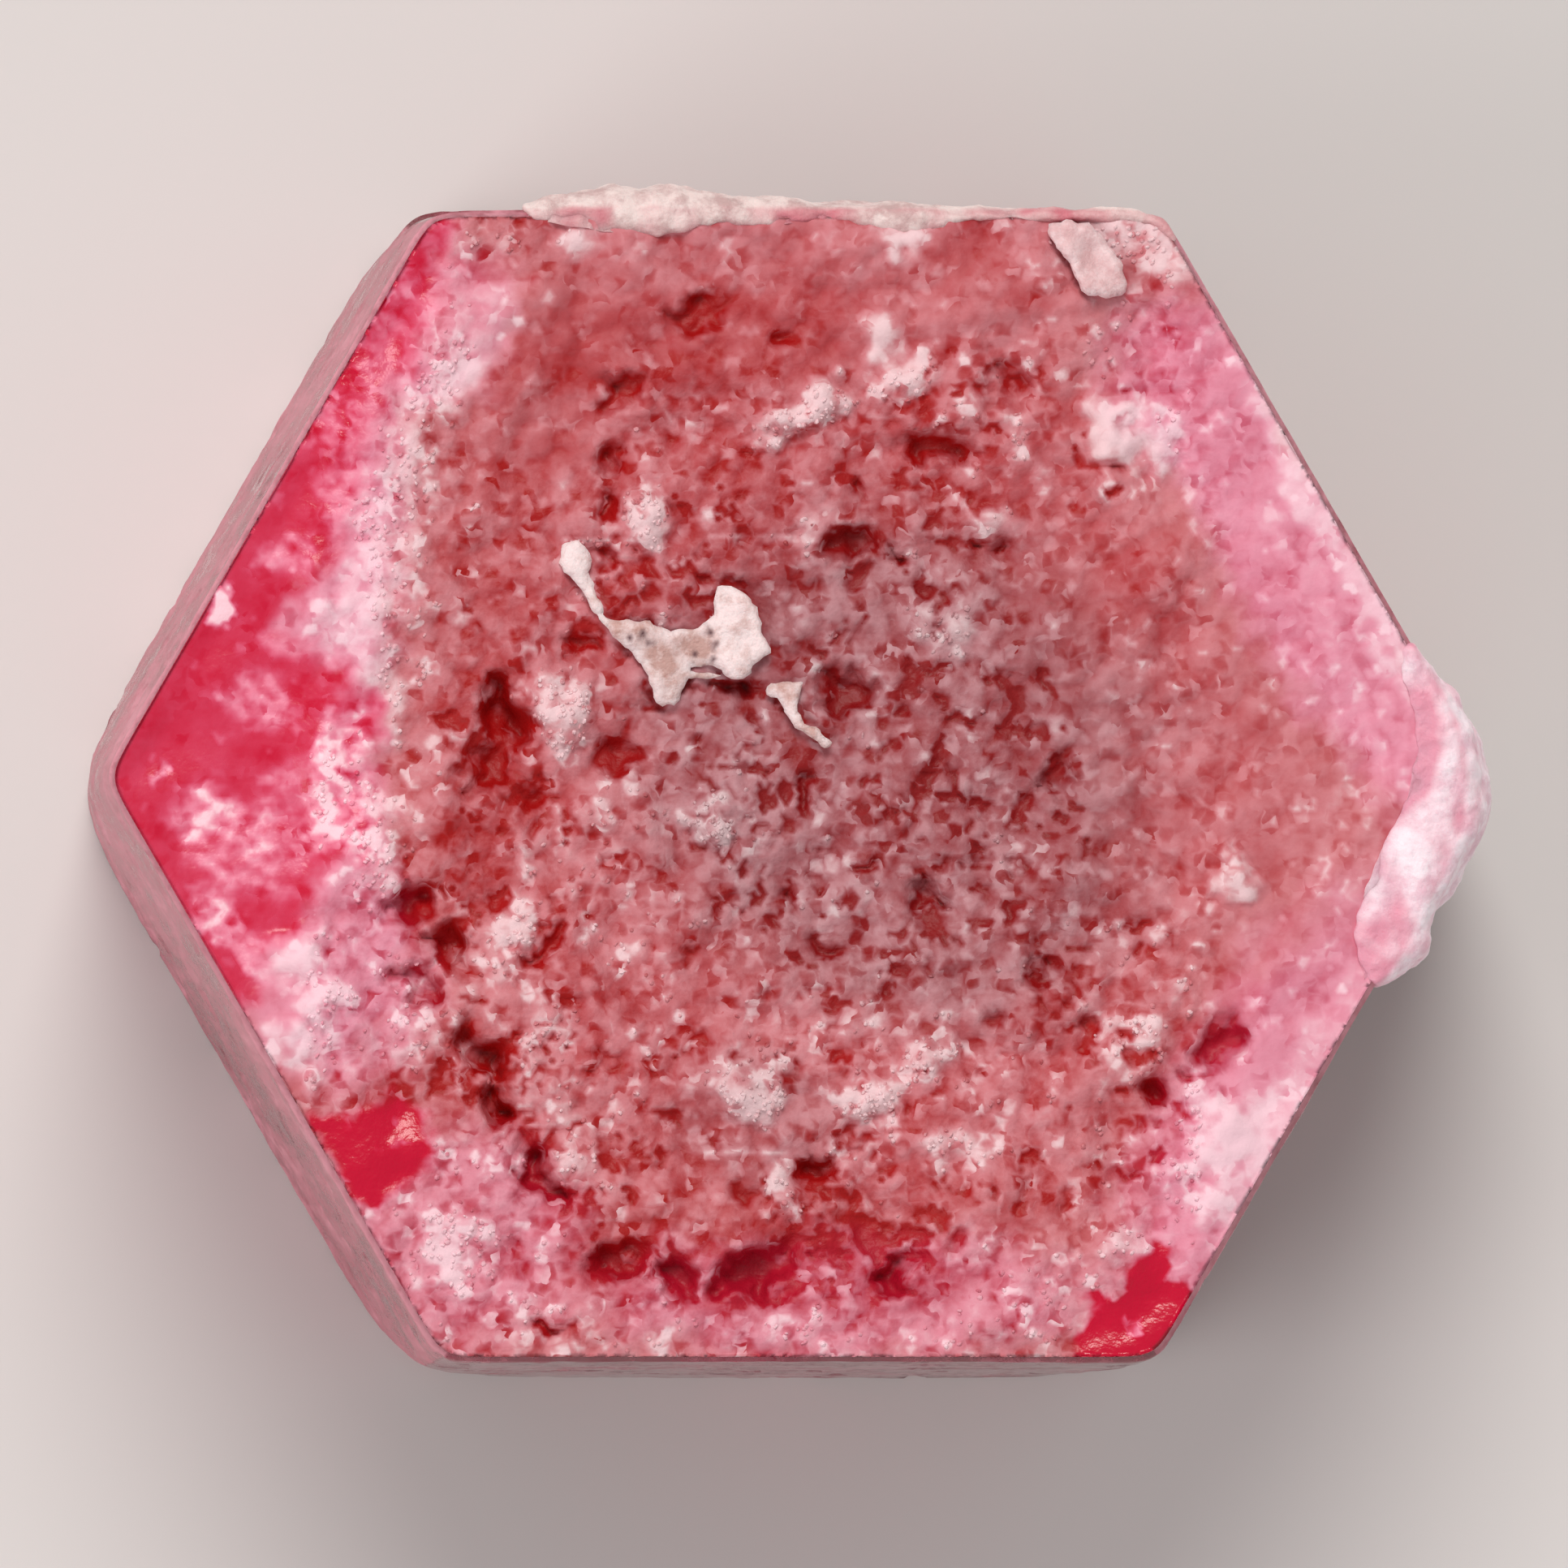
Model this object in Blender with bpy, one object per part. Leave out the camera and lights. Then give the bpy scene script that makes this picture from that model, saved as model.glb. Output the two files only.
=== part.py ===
"""A red beryl crystal, 12 mm across: a six-sided prism with an etched end face, on a flat cut base.

White mineral film, a crust and a lump of matrix are still on it. Run in Blender 4.5. The model is in metres with
+Z up; the numbers below are millimetres. The origin is the middle of the base, +Z runs up the prism, and +X
points at the corner that the matrix wraps.
"""

import math

import bpy
import bmesh
from mathutils import Vector, noise
from mathutils.geometry import delaunay_2d_cdt

MM = 0.001

# --- the prism ---------------------------------------------------------------------------------------------------
HEIGHT = 7.0
# Each prism face: the way it looks, in degrees from +X; how far it stands from the axis; and how far the part of
# it below the growth step stands proud.
PRISM_FACES = (
    (30, 5.15, 0.12),
    (90, 4.85, 0.07),
    (150, 5.14, 0.0),
    (210, 5.12, 0.0),
    (270, 4.97, 0.0),
    (330, 5.17, 0.07),
)
# The corner under the matrix is broken off short, near the end face only.
BROKEN_CORNER_TURN = 0
BROKEN_CORNER_DISTANCE = 5.70
BROKEN_CORNER_DEPTH = 2.6
WHOLE_CORNER_DISTANCE = 6.2
# The corners are crisp at the end face and worn round at the base: a higher number is a sharper corner.
TOP_SHARPNESS = 70
BASE_SHARPNESS = 21
WORN_HEIGHT = 5.0
BASE_FLARE = 0.07
# The growth step runs round the prism in a slow wave.
STEP_HEIGHT = 2.3
STEP_WAVE = 0.45
STEP_WAVE_TURN = 70
STEP_RISE = 0.06
EDGE_BEVEL = 0.05

# --- how finely the crystal is divided ----------------------------------------------------------------------------
RINGS = 29
ROWS_BELOW_STEP = (0.0, 0.12, 0.36, 0.68, 1.0)
ROWS_ABOVE_STEP = (0.0, 0.22, 0.45, 0.68, 0.88, 1.0)

# --- chips knocked out of the lower edges: centre x, y, z and radius ----------------------------------------------
CHIPS = (
    (-3.45, -5.55, 0.0, 0.95),
    (5.55, 2.75, 0.1, 0.90),
    (2.1, 5.65, 0.0, 0.85),
    (4.25, -4.45, 0.2, 0.95),
    (-6.45, 0.9, 0.4, 0.95),
)

# --- the etched end face ------------------------------------------------------------------------------------------
# It is dished, in low six-sided steps. Each step: how far out it runs, where 1 is the outline, and how high it is.
BASIN_CENTRE = (0.6, 0.25)
BASIN_STEPS = ((0.36, 0.05), (0.56, 0.06), (0.76, 0.05))
BASIN_STEP_SPREAD = 0.05
BASIN_WANDER = 0.07
RIM_WIDTH = 0.30
BUMP_SIZES = ((1.1, 0.06), (0.55, 0.07))
# The clear corner to the left of the pale band is smoother and lies a little lower.
PALE_BAND = ((-2.57, 3.96), (-2.91, 3.54), (-3.40, 3.06), (-3.47, 2.50), (-3.47, 1.95), (-3.81, 1.39),
             (-3.68, 0.77), (-3.81, 0.08), (-3.75, -0.69))
CURVED_RIDGE = ((-2.22, -1.87), (-2.15, -2.70), (-1.66, -3.46))
# Each ridge: its line, its half width and its height.
RIDGES = ((PALE_BAND, 0.42, 0.08), (CURVED_RIDGE, 0.32, 0.07))
CLEAR_CORNER_EDGE = -4.0
CLEAR_CORNER_DROP = 0.05
SMOOTH_SIDE_START = 3.0

# Each etched hollow and each lump: x, y, half length, half width, its turn in degrees, and its depth or height.
HOLLOWS = (
    (-2.50, 0.56, 0.42, 0.26, 95, 0.32),
    (-2.64, 0.11, 0.28, 0.22, 30, 0.19),
    (-3.29, -1.10, 0.34, 0.24, 10, 0.27),
    (-3.23, -1.78, 0.26, 0.22, -40, 0.24),
    (-2.96, -1.45, 0.30, 0.20, -65, 0.24),
    (-2.66, -2.37, 0.34, 0.20, -55, 0.27),
    (-2.53, -2.78, 0.32, 0.22, -50, 0.27),
    (-2.18, -3.39, 0.40, 0.22, -45, 0.27),
    (-1.49, -4.12, 0.36, 0.22, 20, 0.24),
    (-1.01, -4.29, 0.36, 0.24, -10, 0.24),
    (-0.31, -4.20, 0.50, 0.26, 5, 0.32),
    (0.92, -4.20, 0.32, 0.22, 40, 0.27),
    (1.21, 2.83, 0.32, 0.20, -20, 0.22),
    (0.42, 2.00, 0.28, 0.20, -10, 0.22),
    (-0.83, 3.94, 0.26, 0.22, 0, 0.19),
    (-1.49, 3.34, 0.26, 0.22, 60, 0.19),
    (-1.60, 2.75, 0.26, 0.22, 80, 0.19),
    (1.87, 3.34, 0.32, 0.28, 90, 0.16),
    (3.64, -2.25, 0.28, 0.24, 90, 0.22),
    (3.05, -2.66, 0.26, 0.20, -10, 0.19),
    (2.15, -1.66, 0.28, 0.20, 10, 0.16),
    (2.22, -0.03, 0.28, 0.20, 40, 0.16),
    (1.11, -1.02, 0.30, 0.18, -20, 0.16),
    (0.42, 0.77, 0.30, 0.24, 0, 0.22),
    (0.29, -3.32, 0.30, 0.18, 35, 0.19),
)
LUMPS = (
    (0.21, 3.27, 0.34, 0.26, 60, 0.18),
    (-0.17, 3.06, 0.32, 0.20, 25, 0.14),
    (0.97, 3.43, 0.38, 0.24, 20, 0.15),
    (-1.28, 2.23, 0.32, 0.22, 100, 0.15),
    (2.71, 2.99, 0.40, 0.26, 110, 0.14),
    (3.09, 2.92, 0.44, 0.24, -65, 0.14),
    (-1.98, 0.56, 0.42, 0.32, 90, 0.14),
    (-0.38, -2.66, 0.36, 0.30, -10, 0.17),
    (0.61, -2.71, 0.36, 0.22, 10, 0.17),
    (1.11, -2.35, 0.34, 0.24, 30, 0.12),
    (2.91, -2.21, 0.32, 0.32, 0, 0.09),
    (3.76, -0.83, 0.26, 0.24, 90, 0.15),
    (-0.73, -0.31, 0.30, 0.26, 0, 0.14),
    (-0.10, -3.53, 0.30, 0.20, -45, 0.11),
    (1.39, -3.11, 0.40, 0.30, 0, 0.09),
    (-2.39, -1.28, 0.30, 0.22, 60, 0.11),
    (-4.23, -1.41, 0.32, 0.30, -30, 0.12),
    (-4.06, -1.90, 0.34, 0.26, 70, 0.12),
    (-4.37, -2.25, 0.28, 0.26, 0, 0.11),
    (-2.91, -4.00, 0.46, 0.38, 0, 0.09),
    (1.25, 1.32, 0.40, 0.32, 70, 0.09),
    (3.60, -2.95, 0.50, 0.30, -60, 0.09),
)

# --- what lies on the end face ------------------------------------------------------------------------------------
CONTACT_GAP = 0.03
FILM_THICKNESS = 0.09
FILM_MESH_STEP = 0.13
FILM_REACH = 0.22
FILM_OUTLINE = (
    (-1.63, 1.36), (-1.28, 1.36), (-1.13, 1.28), (-0.85, 1.28), (-0.75, 1.38), (-0.68, 1.40), (-0.68, 1.65),
    (-0.52, 1.65), (-0.39, 1.58), (-0.31, 1.42), (-0.29, 1.24), (-0.22, 1.12), (-0.25, 1.03), (-0.36, 1.00),
    (-0.38, 0.90), (-0.42, 0.85), (-0.57, 0.87), (-0.90, 0.87), (-0.96, 0.74), (-1.00, 0.65), (-1.20, 0.65),
    (-1.25, 0.85), (-1.31, 1.00), (-1.46, 1.14), (-1.62, 1.26), (-1.76, 1.45), (-1.86, 1.66), (-1.98, 1.73),
    (-2.03, 1.88), (-1.98, 2.03), (-1.86, 2.06), (-1.76, 1.95), (-1.75, 1.78), (-1.68, 1.55),
)
FRAGMENT_OUTLINE = (
    (-0.24, 0.78), (-0.07, 0.85), (0.07, 0.84), (0.03, 0.63), (0.08, 0.49), (0.21, 0.45), (0.31, 0.32),
    (0.25, 0.26), (0.10, 0.38), (-0.03, 0.50), (-0.12, 0.65),
)
FLAKE_THICKNESS = 0.13
FLAKE_OUTLINE = (
    (2.14, 4.78), (2.50, 4.78), (2.58, 4.71), (2.63, 4.63), (2.72, 4.53), (2.79, 4.41), (2.82, 4.28),
    (2.81, 4.16), (2.68, 4.12), (2.56, 4.12), (2.46, 4.16), (2.40, 4.27), (2.34, 4.40), (2.25, 4.53),
    (2.16, 4.66),
)

# --- what laps over the edge of the end face ----------------------------------------------------------------------
# Stations round the outline. Each: its angle in degrees, how far it stands out from the side face, how far it
# laps in over the end face, how far down the side it runs, and how high it stands above the end face.
CRUST_STATIONS = (
    (54.6, 0.03, 0.05, 0.20, 0.02),
    (60, 0.06, 0.08, 0.45, 0.03),
    (66, 0.07, 0.06, 0.35, 0.03),
    (72, 0.07, 0.05, 0.50, 0.03),
    (78, 0.10, 0.20, 0.70, 0.05),
    (82, 0.12, 0.12, 0.80, 0.05),
    (87, 0.14, 0.06, 0.60, 0.04),
    (93, 0.17, 0.12, 0.65, 0.05),
    (98, 0.21, 0.07, 0.85, 0.05),
    (103, 0.25, 0.18, 1.00, 0.06),
    (108, 0.26, 0.20, 0.90, 0.06),
    (112, 0.20, 0.15, 0.60, 0.05),
    (115.5, 0.09, 0.06, 0.25, 0.03),
)
KNOB_STATIONS = (
    (12.5, 0.05, 0.10, 0.50, 0.03),
    (9.5, 0.10, 0.22, 1.10, 0.04),
    (7, 0.18, 0.27, 1.60, 0.06),
    (4, 0.26, 0.34, 1.85, 0.08),
    (0, 0.26, 0.46, 1.95, 0.09),
    (-4, 0.27, 0.54, 1.90, 0.09),
    (-7.5, 0.23, 0.60, 1.80, 0.09),
    (-10.5, 0.19, 0.56, 1.60, 0.08),
    (-13, 0.23, 0.46, 1.45, 0.08),
    (-15, 0.28, 0.38, 1.25, 0.07),
    (-17, 0.17, 0.27, 0.90, 0.05),
    (-19.5, 0.05, 0.10, 0.45, 0.03),
)
CRUST_STEPS = 3
KNOB_STEPS = 3
# How unevenly the outside of these growths swells, as a share of how far they stand out and run down.
SWELL = 0.35
RAGGED = 0.16
SWELLS_PER_TURN = 16.0

# Each piece's colour, its roughness, and how much light it lets through.
FINISHES = {
    "red_beryl": ((0.56, 0.045, 0.075), 0.30, 0.5),
    "white_film": ((0.86, 0.70, 0.71), 0.60, 0.0),
    "white_crust": ((0.78, 0.64, 0.62), 0.75, 0.0),
    "white_flake": ((0.84, 0.68, 0.69), 0.55, 0.0),
    "pale_matrix": ((0.82, 0.64, 0.70), 0.65, 0.0),
}


def smooth(value):
    """0 below 0, 1 above 1, with an even curve between."""
    value = min(max(value, 0.0), 1.0)
    return value * value * (3.0 - 2.0 * value)


def mix(low, high, share):
    return low + (high - low) * share


# --- the outline --------------------------------------------------------------------------------------------------
def corner_after(index):
    """Where face number index meets the next one, x and y."""
    first_turn, first_distance, _ = PRISM_FACES[index % 6]
    next_turn, next_distance, _ = PRISM_FACES[(index + 1) % 6]
    first, following = math.radians(first_turn), math.radians(next_turn)
    cross = math.sin(following - first)
    x = (first_distance * math.sin(following) - next_distance * math.sin(first)) / cross
    y = (next_distance * math.cos(first) - first_distance * math.cos(following)) / cross
    return x, y


def outline_angles(rings):
    """The angle of each column: evenly spaced along each face, with one column on each corner."""
    angles = []
    for face in range(6):
        start, end = corner_after(face - 1), corner_after(face)
        for step in range(rings):
            share = step / rings
            angles.append(math.atan2(mix(start[1], end[1], share), mix(start[0], end[0], share)))
    return angles


def step_height(angle):
    return STEP_HEIGHT + STEP_WAVE * math.cos(angle - math.radians(STEP_WAVE_TURN))


def outline_radius(angle, height, below_step=0.0):
    """How far the crystal's side is from the axis, at an angle and a height."""
    sharpness = mix(BASE_SHARPNESS, TOP_SHARPNESS, smooth(height / WORN_HEIGHT))
    flare = BASE_FLARE * (1.0 - height / HEIGHT)
    total = 0.0
    for turn, distance, proud in PRISM_FACES:
        facing = math.cos(angle - math.radians(turn))
        if facing > 0.0:
            total += (facing / (distance + flare + proud * below_step)) ** sharpness
    broken = smooth((height - HEIGHT + BROKEN_CORNER_DEPTH) / 0.8)
    facing = math.cos(angle - math.radians(BROKEN_CORNER_TURN))
    if facing > 0.0:
        total += (facing / mix(WHOLE_CORNER_DISTANCE, BROKEN_CORNER_DISTANCE, broken)) ** sharpness
    return total ** (-1.0 / sharpness)


def side_point(angle, height, below_step=0.0):
    """A point on the crystal's side, pushed in where a chip was knocked out."""
    radius = outline_radius(angle, height, below_step)
    along = Vector((math.cos(angle), math.sin(angle), 0.0))
    for x, y, z, chip_radius in CHIPS:
        centre = Vector((x, y, z))
        point = along * radius + Vector((0.0, 0.0, height))
        if (point - centre).length < chip_radius:
            middle = along.dot(centre)
            beside = (centre - along * middle - Vector((0.0, 0.0, height))).length
            radius = min(radius, middle - math.sqrt(max(chip_radius ** 2 - beside ** 2, 0.0)))
    return along * radius + Vector((0.0, 0.0, height))


# --- the end face -------------------------------------------------------------------------------------------------
def edge_margin(x, y):
    """How far inside the nearest prism face a point lies."""
    return min(
        distance - x * math.cos(math.radians(turn)) - y * math.sin(math.radians(turn))
        for turn, distance, _ in PRISM_FACES
    )


def basin_reach(x, y):
    """0 in the middle of the basin and 1 on a six-sided line round it, about where the outline is."""
    x, y = x - BASIN_CENTRE[0], y - BASIN_CENTRE[1]
    return max(
        (x * math.cos(math.radians(turn)) + y * math.sin(math.radians(turn))) / distance
        for turn, distance, _ in PRISM_FACES
    )


def oval_dome(x, y, shape):
    """1 in the middle of an oval and 0 outside it."""
    centre_x, centre_y, half_length, half_width, turn, _ = shape
    cosine, sine = math.cos(math.radians(turn)), math.sin(math.radians(turn))
    along = ((x - centre_x) * cosine + (y - centre_y) * sine) / half_length
    across = ((y - centre_y) * cosine - (x - centre_x) * sine) / half_width
    return max(1.0 - along * along - across * across, 0.0) ** 1.5


def distance_to_line(x, y, line):
    point = Vector((x, y))
    nearest = 1e9
    for start, end in zip(line, line[1:]):
        start, end = Vector(start), Vector(end)
        run = end - start
        share = min(max((point - start).dot(run) / run.length_squared, 0.0), 1.0)
        nearest = min(nearest, (point - start - run * share).length)
    return nearest


def relief(x, y):
    """How far the end face stands above or below its own level."""
    wander = BASIN_WANDER * noise.noise(Vector((x * 0.5, y * 0.5, 3.0)))
    reach = basin_reach(x, y) + wander
    level = sum(
        -rise * (1.0 - smooth((reach - start) / BASIN_STEP_SPREAD + 0.5)) for start, rise in BASIN_STEPS
    )
    clear = smooth((CLEAR_CORNER_EDGE - x) / 0.4)
    calm = max(clear, 0.8 * smooth((x - SMOOTH_SIDE_START) / 1.0))
    for size, height in BUMP_SIZES:
        level += height * noise.noise(Vector((x / size, y / size, 7.0 * size))) * 1.6 * (1.0 - 0.7 * calm)
    level -= CLEAR_CORNER_DROP * clear
    for line, half_width, height in RIDGES:
        level += height * max(1.0 - (distance_to_line(x, y, line) / half_width) ** 2, 0.0) ** 1.5
    for hollow in HOLLOWS:
        level -= hollow[-1] * oval_dome(x, y, hollow)
    for lump in LUMPS:
        level += lump[-1] * oval_dome(x, y, lump)
    return level * smooth(edge_margin(x, y) / RIM_WIDTH)


def highest_near(x, y, reach):
    """The highest the end face stands at a point and round about it."""
    around = [(x, y)]
    for turn in range(0, 360, 45):
        for share in (0.5, 1.0):
            around.append((x + reach * share * math.cos(math.radians(turn)),
                           y + reach * share * math.sin(math.radians(turn))))
    return max(relief(*place) for place in around)


# --- building -----------------------------------------------------------------------------------------------------
def clear_scene():
    for thing in list(bpy.data.objects):
        bpy.data.objects.remove(thing, do_unlink=True)


def add_piece(name, points, faces, finish):
    """One closed solid from points in millimetres."""
    mesh = bpy.data.meshes.new(name)
    mesh.from_pydata([tuple(Vector(point) * MM) for point in points], [], faces)
    shell = bmesh.new()
    shell.from_mesh(mesh)
    bmesh.ops.recalc_face_normals(shell, faces=shell.faces)
    bmesh.ops.triangulate(shell, faces=shell.faces)
    shell.to_mesh(mesh)
    shell.free()
    mesh.materials.append(make_finish(finish))
    piece = bpy.data.objects.new(name, mesh)
    bpy.context.scene.collection.objects.link(piece)
    return piece


def make_finish(name):
    material = bpy.data.materials.new(name)
    material.use_nodes = True
    colour, roughness, clear = FINISHES[name]
    shader = material.node_tree.nodes["Principled BSDF"]
    shader.inputs["Base Color"].default_value = (*colour, 1.0)
    shader.inputs["Roughness"].default_value = roughness
    shader.inputs["Transmission Weight"].default_value = clear
    shader.inputs["Metallic"].default_value = 0.0
    return material


def end_face(angles, points, faces):
    """The etched end: rings of points from the middle out to just inside the edge. Returns the outermost ring."""
    points.append(Vector((0.0, 0.0, HEIGHT + relief(0.0, 0.0))))
    inner = [0]
    for ring in range(1, RINGS + 1):
        outer = []
        for sector in range(6):
            for step in range(ring):
                # The angle comes from the outline's own columns, read between the two nearest.
                column = sector * RINGS + step * RINGS / ring
                low, share = int(column), column - int(column)
                start = side_point(angles[low % len(angles)], HEIGHT)
                end = side_point(angles[(low + 1) % len(angles)], HEIGHT)
                place = start.lerp(end, share) * (ring / RINGS)
                if ring == RINGS:
                    place *= 1.0 - EDGE_BEVEL / place.xy.length
                outer.append(len(points))
                points.append(Vector((place.x, place.y, HEIGHT + relief(place.x, place.y))))
        for sector in range(6):
            for step in range(ring):
                this = sector * ring + step
                under = sector * (ring - 1) + step
                near = inner[under % len(inner)]
                faces.append((near, outer[this], outer[(this + 1) % len(outer)]))
                if step < ring - 1:
                    faces.append((near, outer[(this + 1) % len(outer)], inner[(under + 1) % len(inner)]))
        inner = outer
    return inner


def side_rows(angles, points):
    """Rows of points down the side, from the edge of the end face to the base."""
    rows = []
    for share in reversed(ROWS_ABOVE_STEP):
        rows.append([
            side_point(angle, mix(step_height(angle) + STEP_RISE, HEIGHT - EDGE_BEVEL, share)) for angle in angles
        ])
    for share in reversed(ROWS_BELOW_STEP):
        rows.append([side_point(angle, step_height(angle) * share, 1.0) for angle in angles])
    numbered = []
    for row in rows:
        numbered.append(list(range(len(points), len(points) + len(row))))
        points.extend(row)
    return numbered


def build_crystal():
    angles = outline_angles(RINGS)
    points, faces = [], []
    above = end_face(angles, points, faces)
    for row in side_rows(angles, points):
        for column in range(len(row)):
            after = (column + 1) % len(row)
            faces.append((above[column], row[column], row[after], above[after]))
        above = row
    faces.append(tuple(above))
    return add_piece("red_beryl_crystal", points, faces, "red_beryl")


def encloses(outline, place):
    """True where the place is inside the closed outline."""
    inside = False
    for start, end in zip(outline, outline[1:] + outline[:1]):
        if (start.y > place.y) != (end.y > place.y):
            crossing = start.x + (end.x - start.x) * (place.y - start.y) / (end.y - start.y)
            inside = inside != (place.x < crossing)
    return inside


def build_sheet(name, outline, thickness, reach, finish):
    """A thin sheet of one outline that lies on the end face's high points and thins towards its edge."""
    edge = [Vector(place) for place in outline]
    corners = len(edge)
    inside = []
    low_x, high_x = min(p.x for p in edge), max(p.x for p in edge)
    low_y, high_y = min(p.y for p in edge), max(p.y for p in edge)
    for row in range(int((high_y - low_y) / FILM_MESH_STEP) + 1):
        for column in range(int((high_x - low_x) / FILM_MESH_STEP) + 1):
            place = Vector((low_x + (column + 0.5 * (row % 2)) * FILM_MESH_STEP, low_y + row * FILM_MESH_STEP))
            if distance_to_line(place.x, place.y, outline + outline[:1]) > FILM_MESH_STEP * 0.6:
                inside.append(place)
    loop = [(index, (index + 1) % corners) for index in range(corners)]
    flat, _, triangles, _, _, _ = delaunay_2d_cdt(edge + inside, loop, [], 0, 1e-6, True)
    triangles = [t for t in triangles if encloses(edge, sum((flat[index] for index in t), Vector((0, 0))) / 3)]
    used = sorted({index for triangle in triangles for index in triangle})
    renumber = {index: place for place, index in enumerate(used)}
    flat = [flat[index] for index in used]
    triangles = [[renumber[index] for index in triangle] for triangle in triangles]
    under, over = [], []
    for place in flat:
        margin = distance_to_line(place.x, place.y, outline + outline[:1])
        level = HEIGHT + highest_near(place.x, place.y, reach) + CONTACT_GAP
        under.append(Vector((place.x, place.y, level)))
        over.append(Vector((place.x, place.y, level + thickness * mix(0.45, 1.0, smooth(margin / 0.15)))))
    count = len(flat)
    faces = [tuple(reversed(triangle)) for triangle in triangles]
    faces += [tuple(index + count for index in triangle) for triangle in triangles]
    sides = {(a, b) for t in triangles for a, b in ((t[0], t[1]), (t[1], t[2]), (t[2], t[0]))}
    for start, end in sorted(sides):
        if (end, start) not in sides:
            faces.append((start, end, end + count, start + count))
    return add_piece(name, under + over, faces, finish)


def growth_section(angle, out, lap, drop, rise):
    """The closed section of what laps over the edge: it hugs the side and the end face, and is lumpy outside."""
    top = HEIGHT + CONTACT_GAP
    wall = outline_radius(angle, HEIGHT) + CONTACT_GAP

    def at(radius, height):
        return Vector((radius * math.cos(angle), radius * math.sin(angle), height))

    def beside(depth):
        return outline_radius(angle, HEIGHT - depth) + CONTACT_GAP

    return (
        at(wall, top),
        at(wall - lap * 0.5, top + 0.01),
        at(wall - lap, top + 0.01),
        at(wall - lap * 0.9, top + rise * 0.5),
        at(wall - lap * 0.45, top + rise),
        at(wall + out * 0.35, top + rise * 0.75),
        at(wall + out * 0.85, top - drop * 0.06),
        at(beside(drop * 0.3) + out, HEIGHT - drop * 0.3),
        at(beside(drop * 0.65) + out * 0.90, HEIGHT - drop * 0.65),
        at(beside(drop * 0.92) + out * 0.55, HEIGHT - drop * 0.92),
        at(beside(drop), HEIGHT - drop),
        at(beside(drop * 0.5), HEIGHT - drop * 0.5),
    )


def build_edge_growth(name, stations, steps, finish):
    """What laps over the edge of the end face, run round the outline through its stations."""
    sections = []
    for start, end in zip(stations, stations[1:]):
        for step in range(steps):
            share = step / steps
            values = [mix(low, high, smooth(share)) for low, high in zip(start[1:], end[1:])]
            angle = math.radians(mix(start[0], end[0], share))
            swell = 1.0 + SWELL * noise.noise(Vector((angle * SWELLS_PER_TURN, 2.0, 5.0)))
            ragged = 1.0 + RAGGED * noise.noise(Vector((angle * SWELLS_PER_TURN, 9.0, 1.0)))
            sections.append(growth_section(angle, values[0] * swell, values[1], values[2] * ragged, values[3]))
    last = stations[-1]
    sections.append(growth_section(math.radians(last[0]), *last[1:]))
    points = [point for section in sections for point in section]
    width = len(sections[0])
    faces = [tuple(range(width)), tuple(len(points) - width + index for index in range(width))]
    for row in range(len(sections) - 1):
        for column in range(width):
            after = (column + 1) % width
            faces.append((row * width + column, row * width + after,
                          (row + 1) * width + after, (row + 1) * width + column))
    return add_piece(name, points, faces, finish)


def main():
    clear_scene()
    build_crystal()
    build_sheet("white_mineral_film", FILM_OUTLINE, FILM_THICKNESS, FILM_REACH, "white_film")
    build_sheet("white_film_fragment", FRAGMENT_OUTLINE, FILM_THICKNESS, FILM_REACH, "white_film")
    build_sheet("corner_flake", FLAKE_OUTLINE, FLAKE_THICKNESS, FILM_REACH, "white_flake")
    build_edge_growth("top_edge_crust", CRUST_STATIONS, CRUST_STEPS, "white_crust")
    build_edge_growth("matrix_knob", KNOB_STATIONS, KNOB_STEPS, "pale_matrix")


main()
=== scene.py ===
"""The finish of a red beryl crystal, 12 mm across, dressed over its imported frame.

Blender 4.5, metres, +Z up. The numbers below are millimetres unless they say otherwise. The crystal stands on
its flat cut base. Its end face, which was etched in nature, looks up.
"""

import math

import bmesh
import bpy
import numpy as np
from mathutils import Matrix, Vector, noise
from mathutils.geometry import delaunay_2d_cdt


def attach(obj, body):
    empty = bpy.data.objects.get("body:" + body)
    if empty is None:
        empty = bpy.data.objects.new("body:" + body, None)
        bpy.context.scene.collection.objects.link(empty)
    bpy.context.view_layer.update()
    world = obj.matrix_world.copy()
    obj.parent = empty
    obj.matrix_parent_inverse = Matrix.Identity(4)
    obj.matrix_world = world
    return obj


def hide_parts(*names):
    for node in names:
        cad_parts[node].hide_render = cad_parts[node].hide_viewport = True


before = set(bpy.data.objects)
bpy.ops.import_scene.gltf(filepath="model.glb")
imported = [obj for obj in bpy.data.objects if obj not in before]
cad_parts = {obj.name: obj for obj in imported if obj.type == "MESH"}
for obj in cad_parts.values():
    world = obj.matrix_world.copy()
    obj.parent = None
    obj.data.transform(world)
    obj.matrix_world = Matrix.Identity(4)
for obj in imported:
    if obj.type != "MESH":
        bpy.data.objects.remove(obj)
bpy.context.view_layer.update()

MM = 0.001

# --- the prism, as in the solid ---
HEIGHT = 7.0
# Each prism face: the way it looks, in degrees from +X; how far it stands from the axis; and how far the part of
# it below the growth step stands proud.
PRISM_FACES = (
    (30, 5.15, 0.12),
    (90, 4.85, 0.07),
    (150, 5.14, 0.0),
    (210, 5.12, 0.0),
    (270, 4.97, 0.0),
    (330, 5.17, 0.07),
)
BROKEN_CORNER_TURN = 0
BROKEN_CORNER_DISTANCE = 5.70
BROKEN_CORNER_DEPTH = 2.6
BROKEN_CORNER_FADE = 0.8
WHOLE_CORNER_DISTANCE = 6.2
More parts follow.
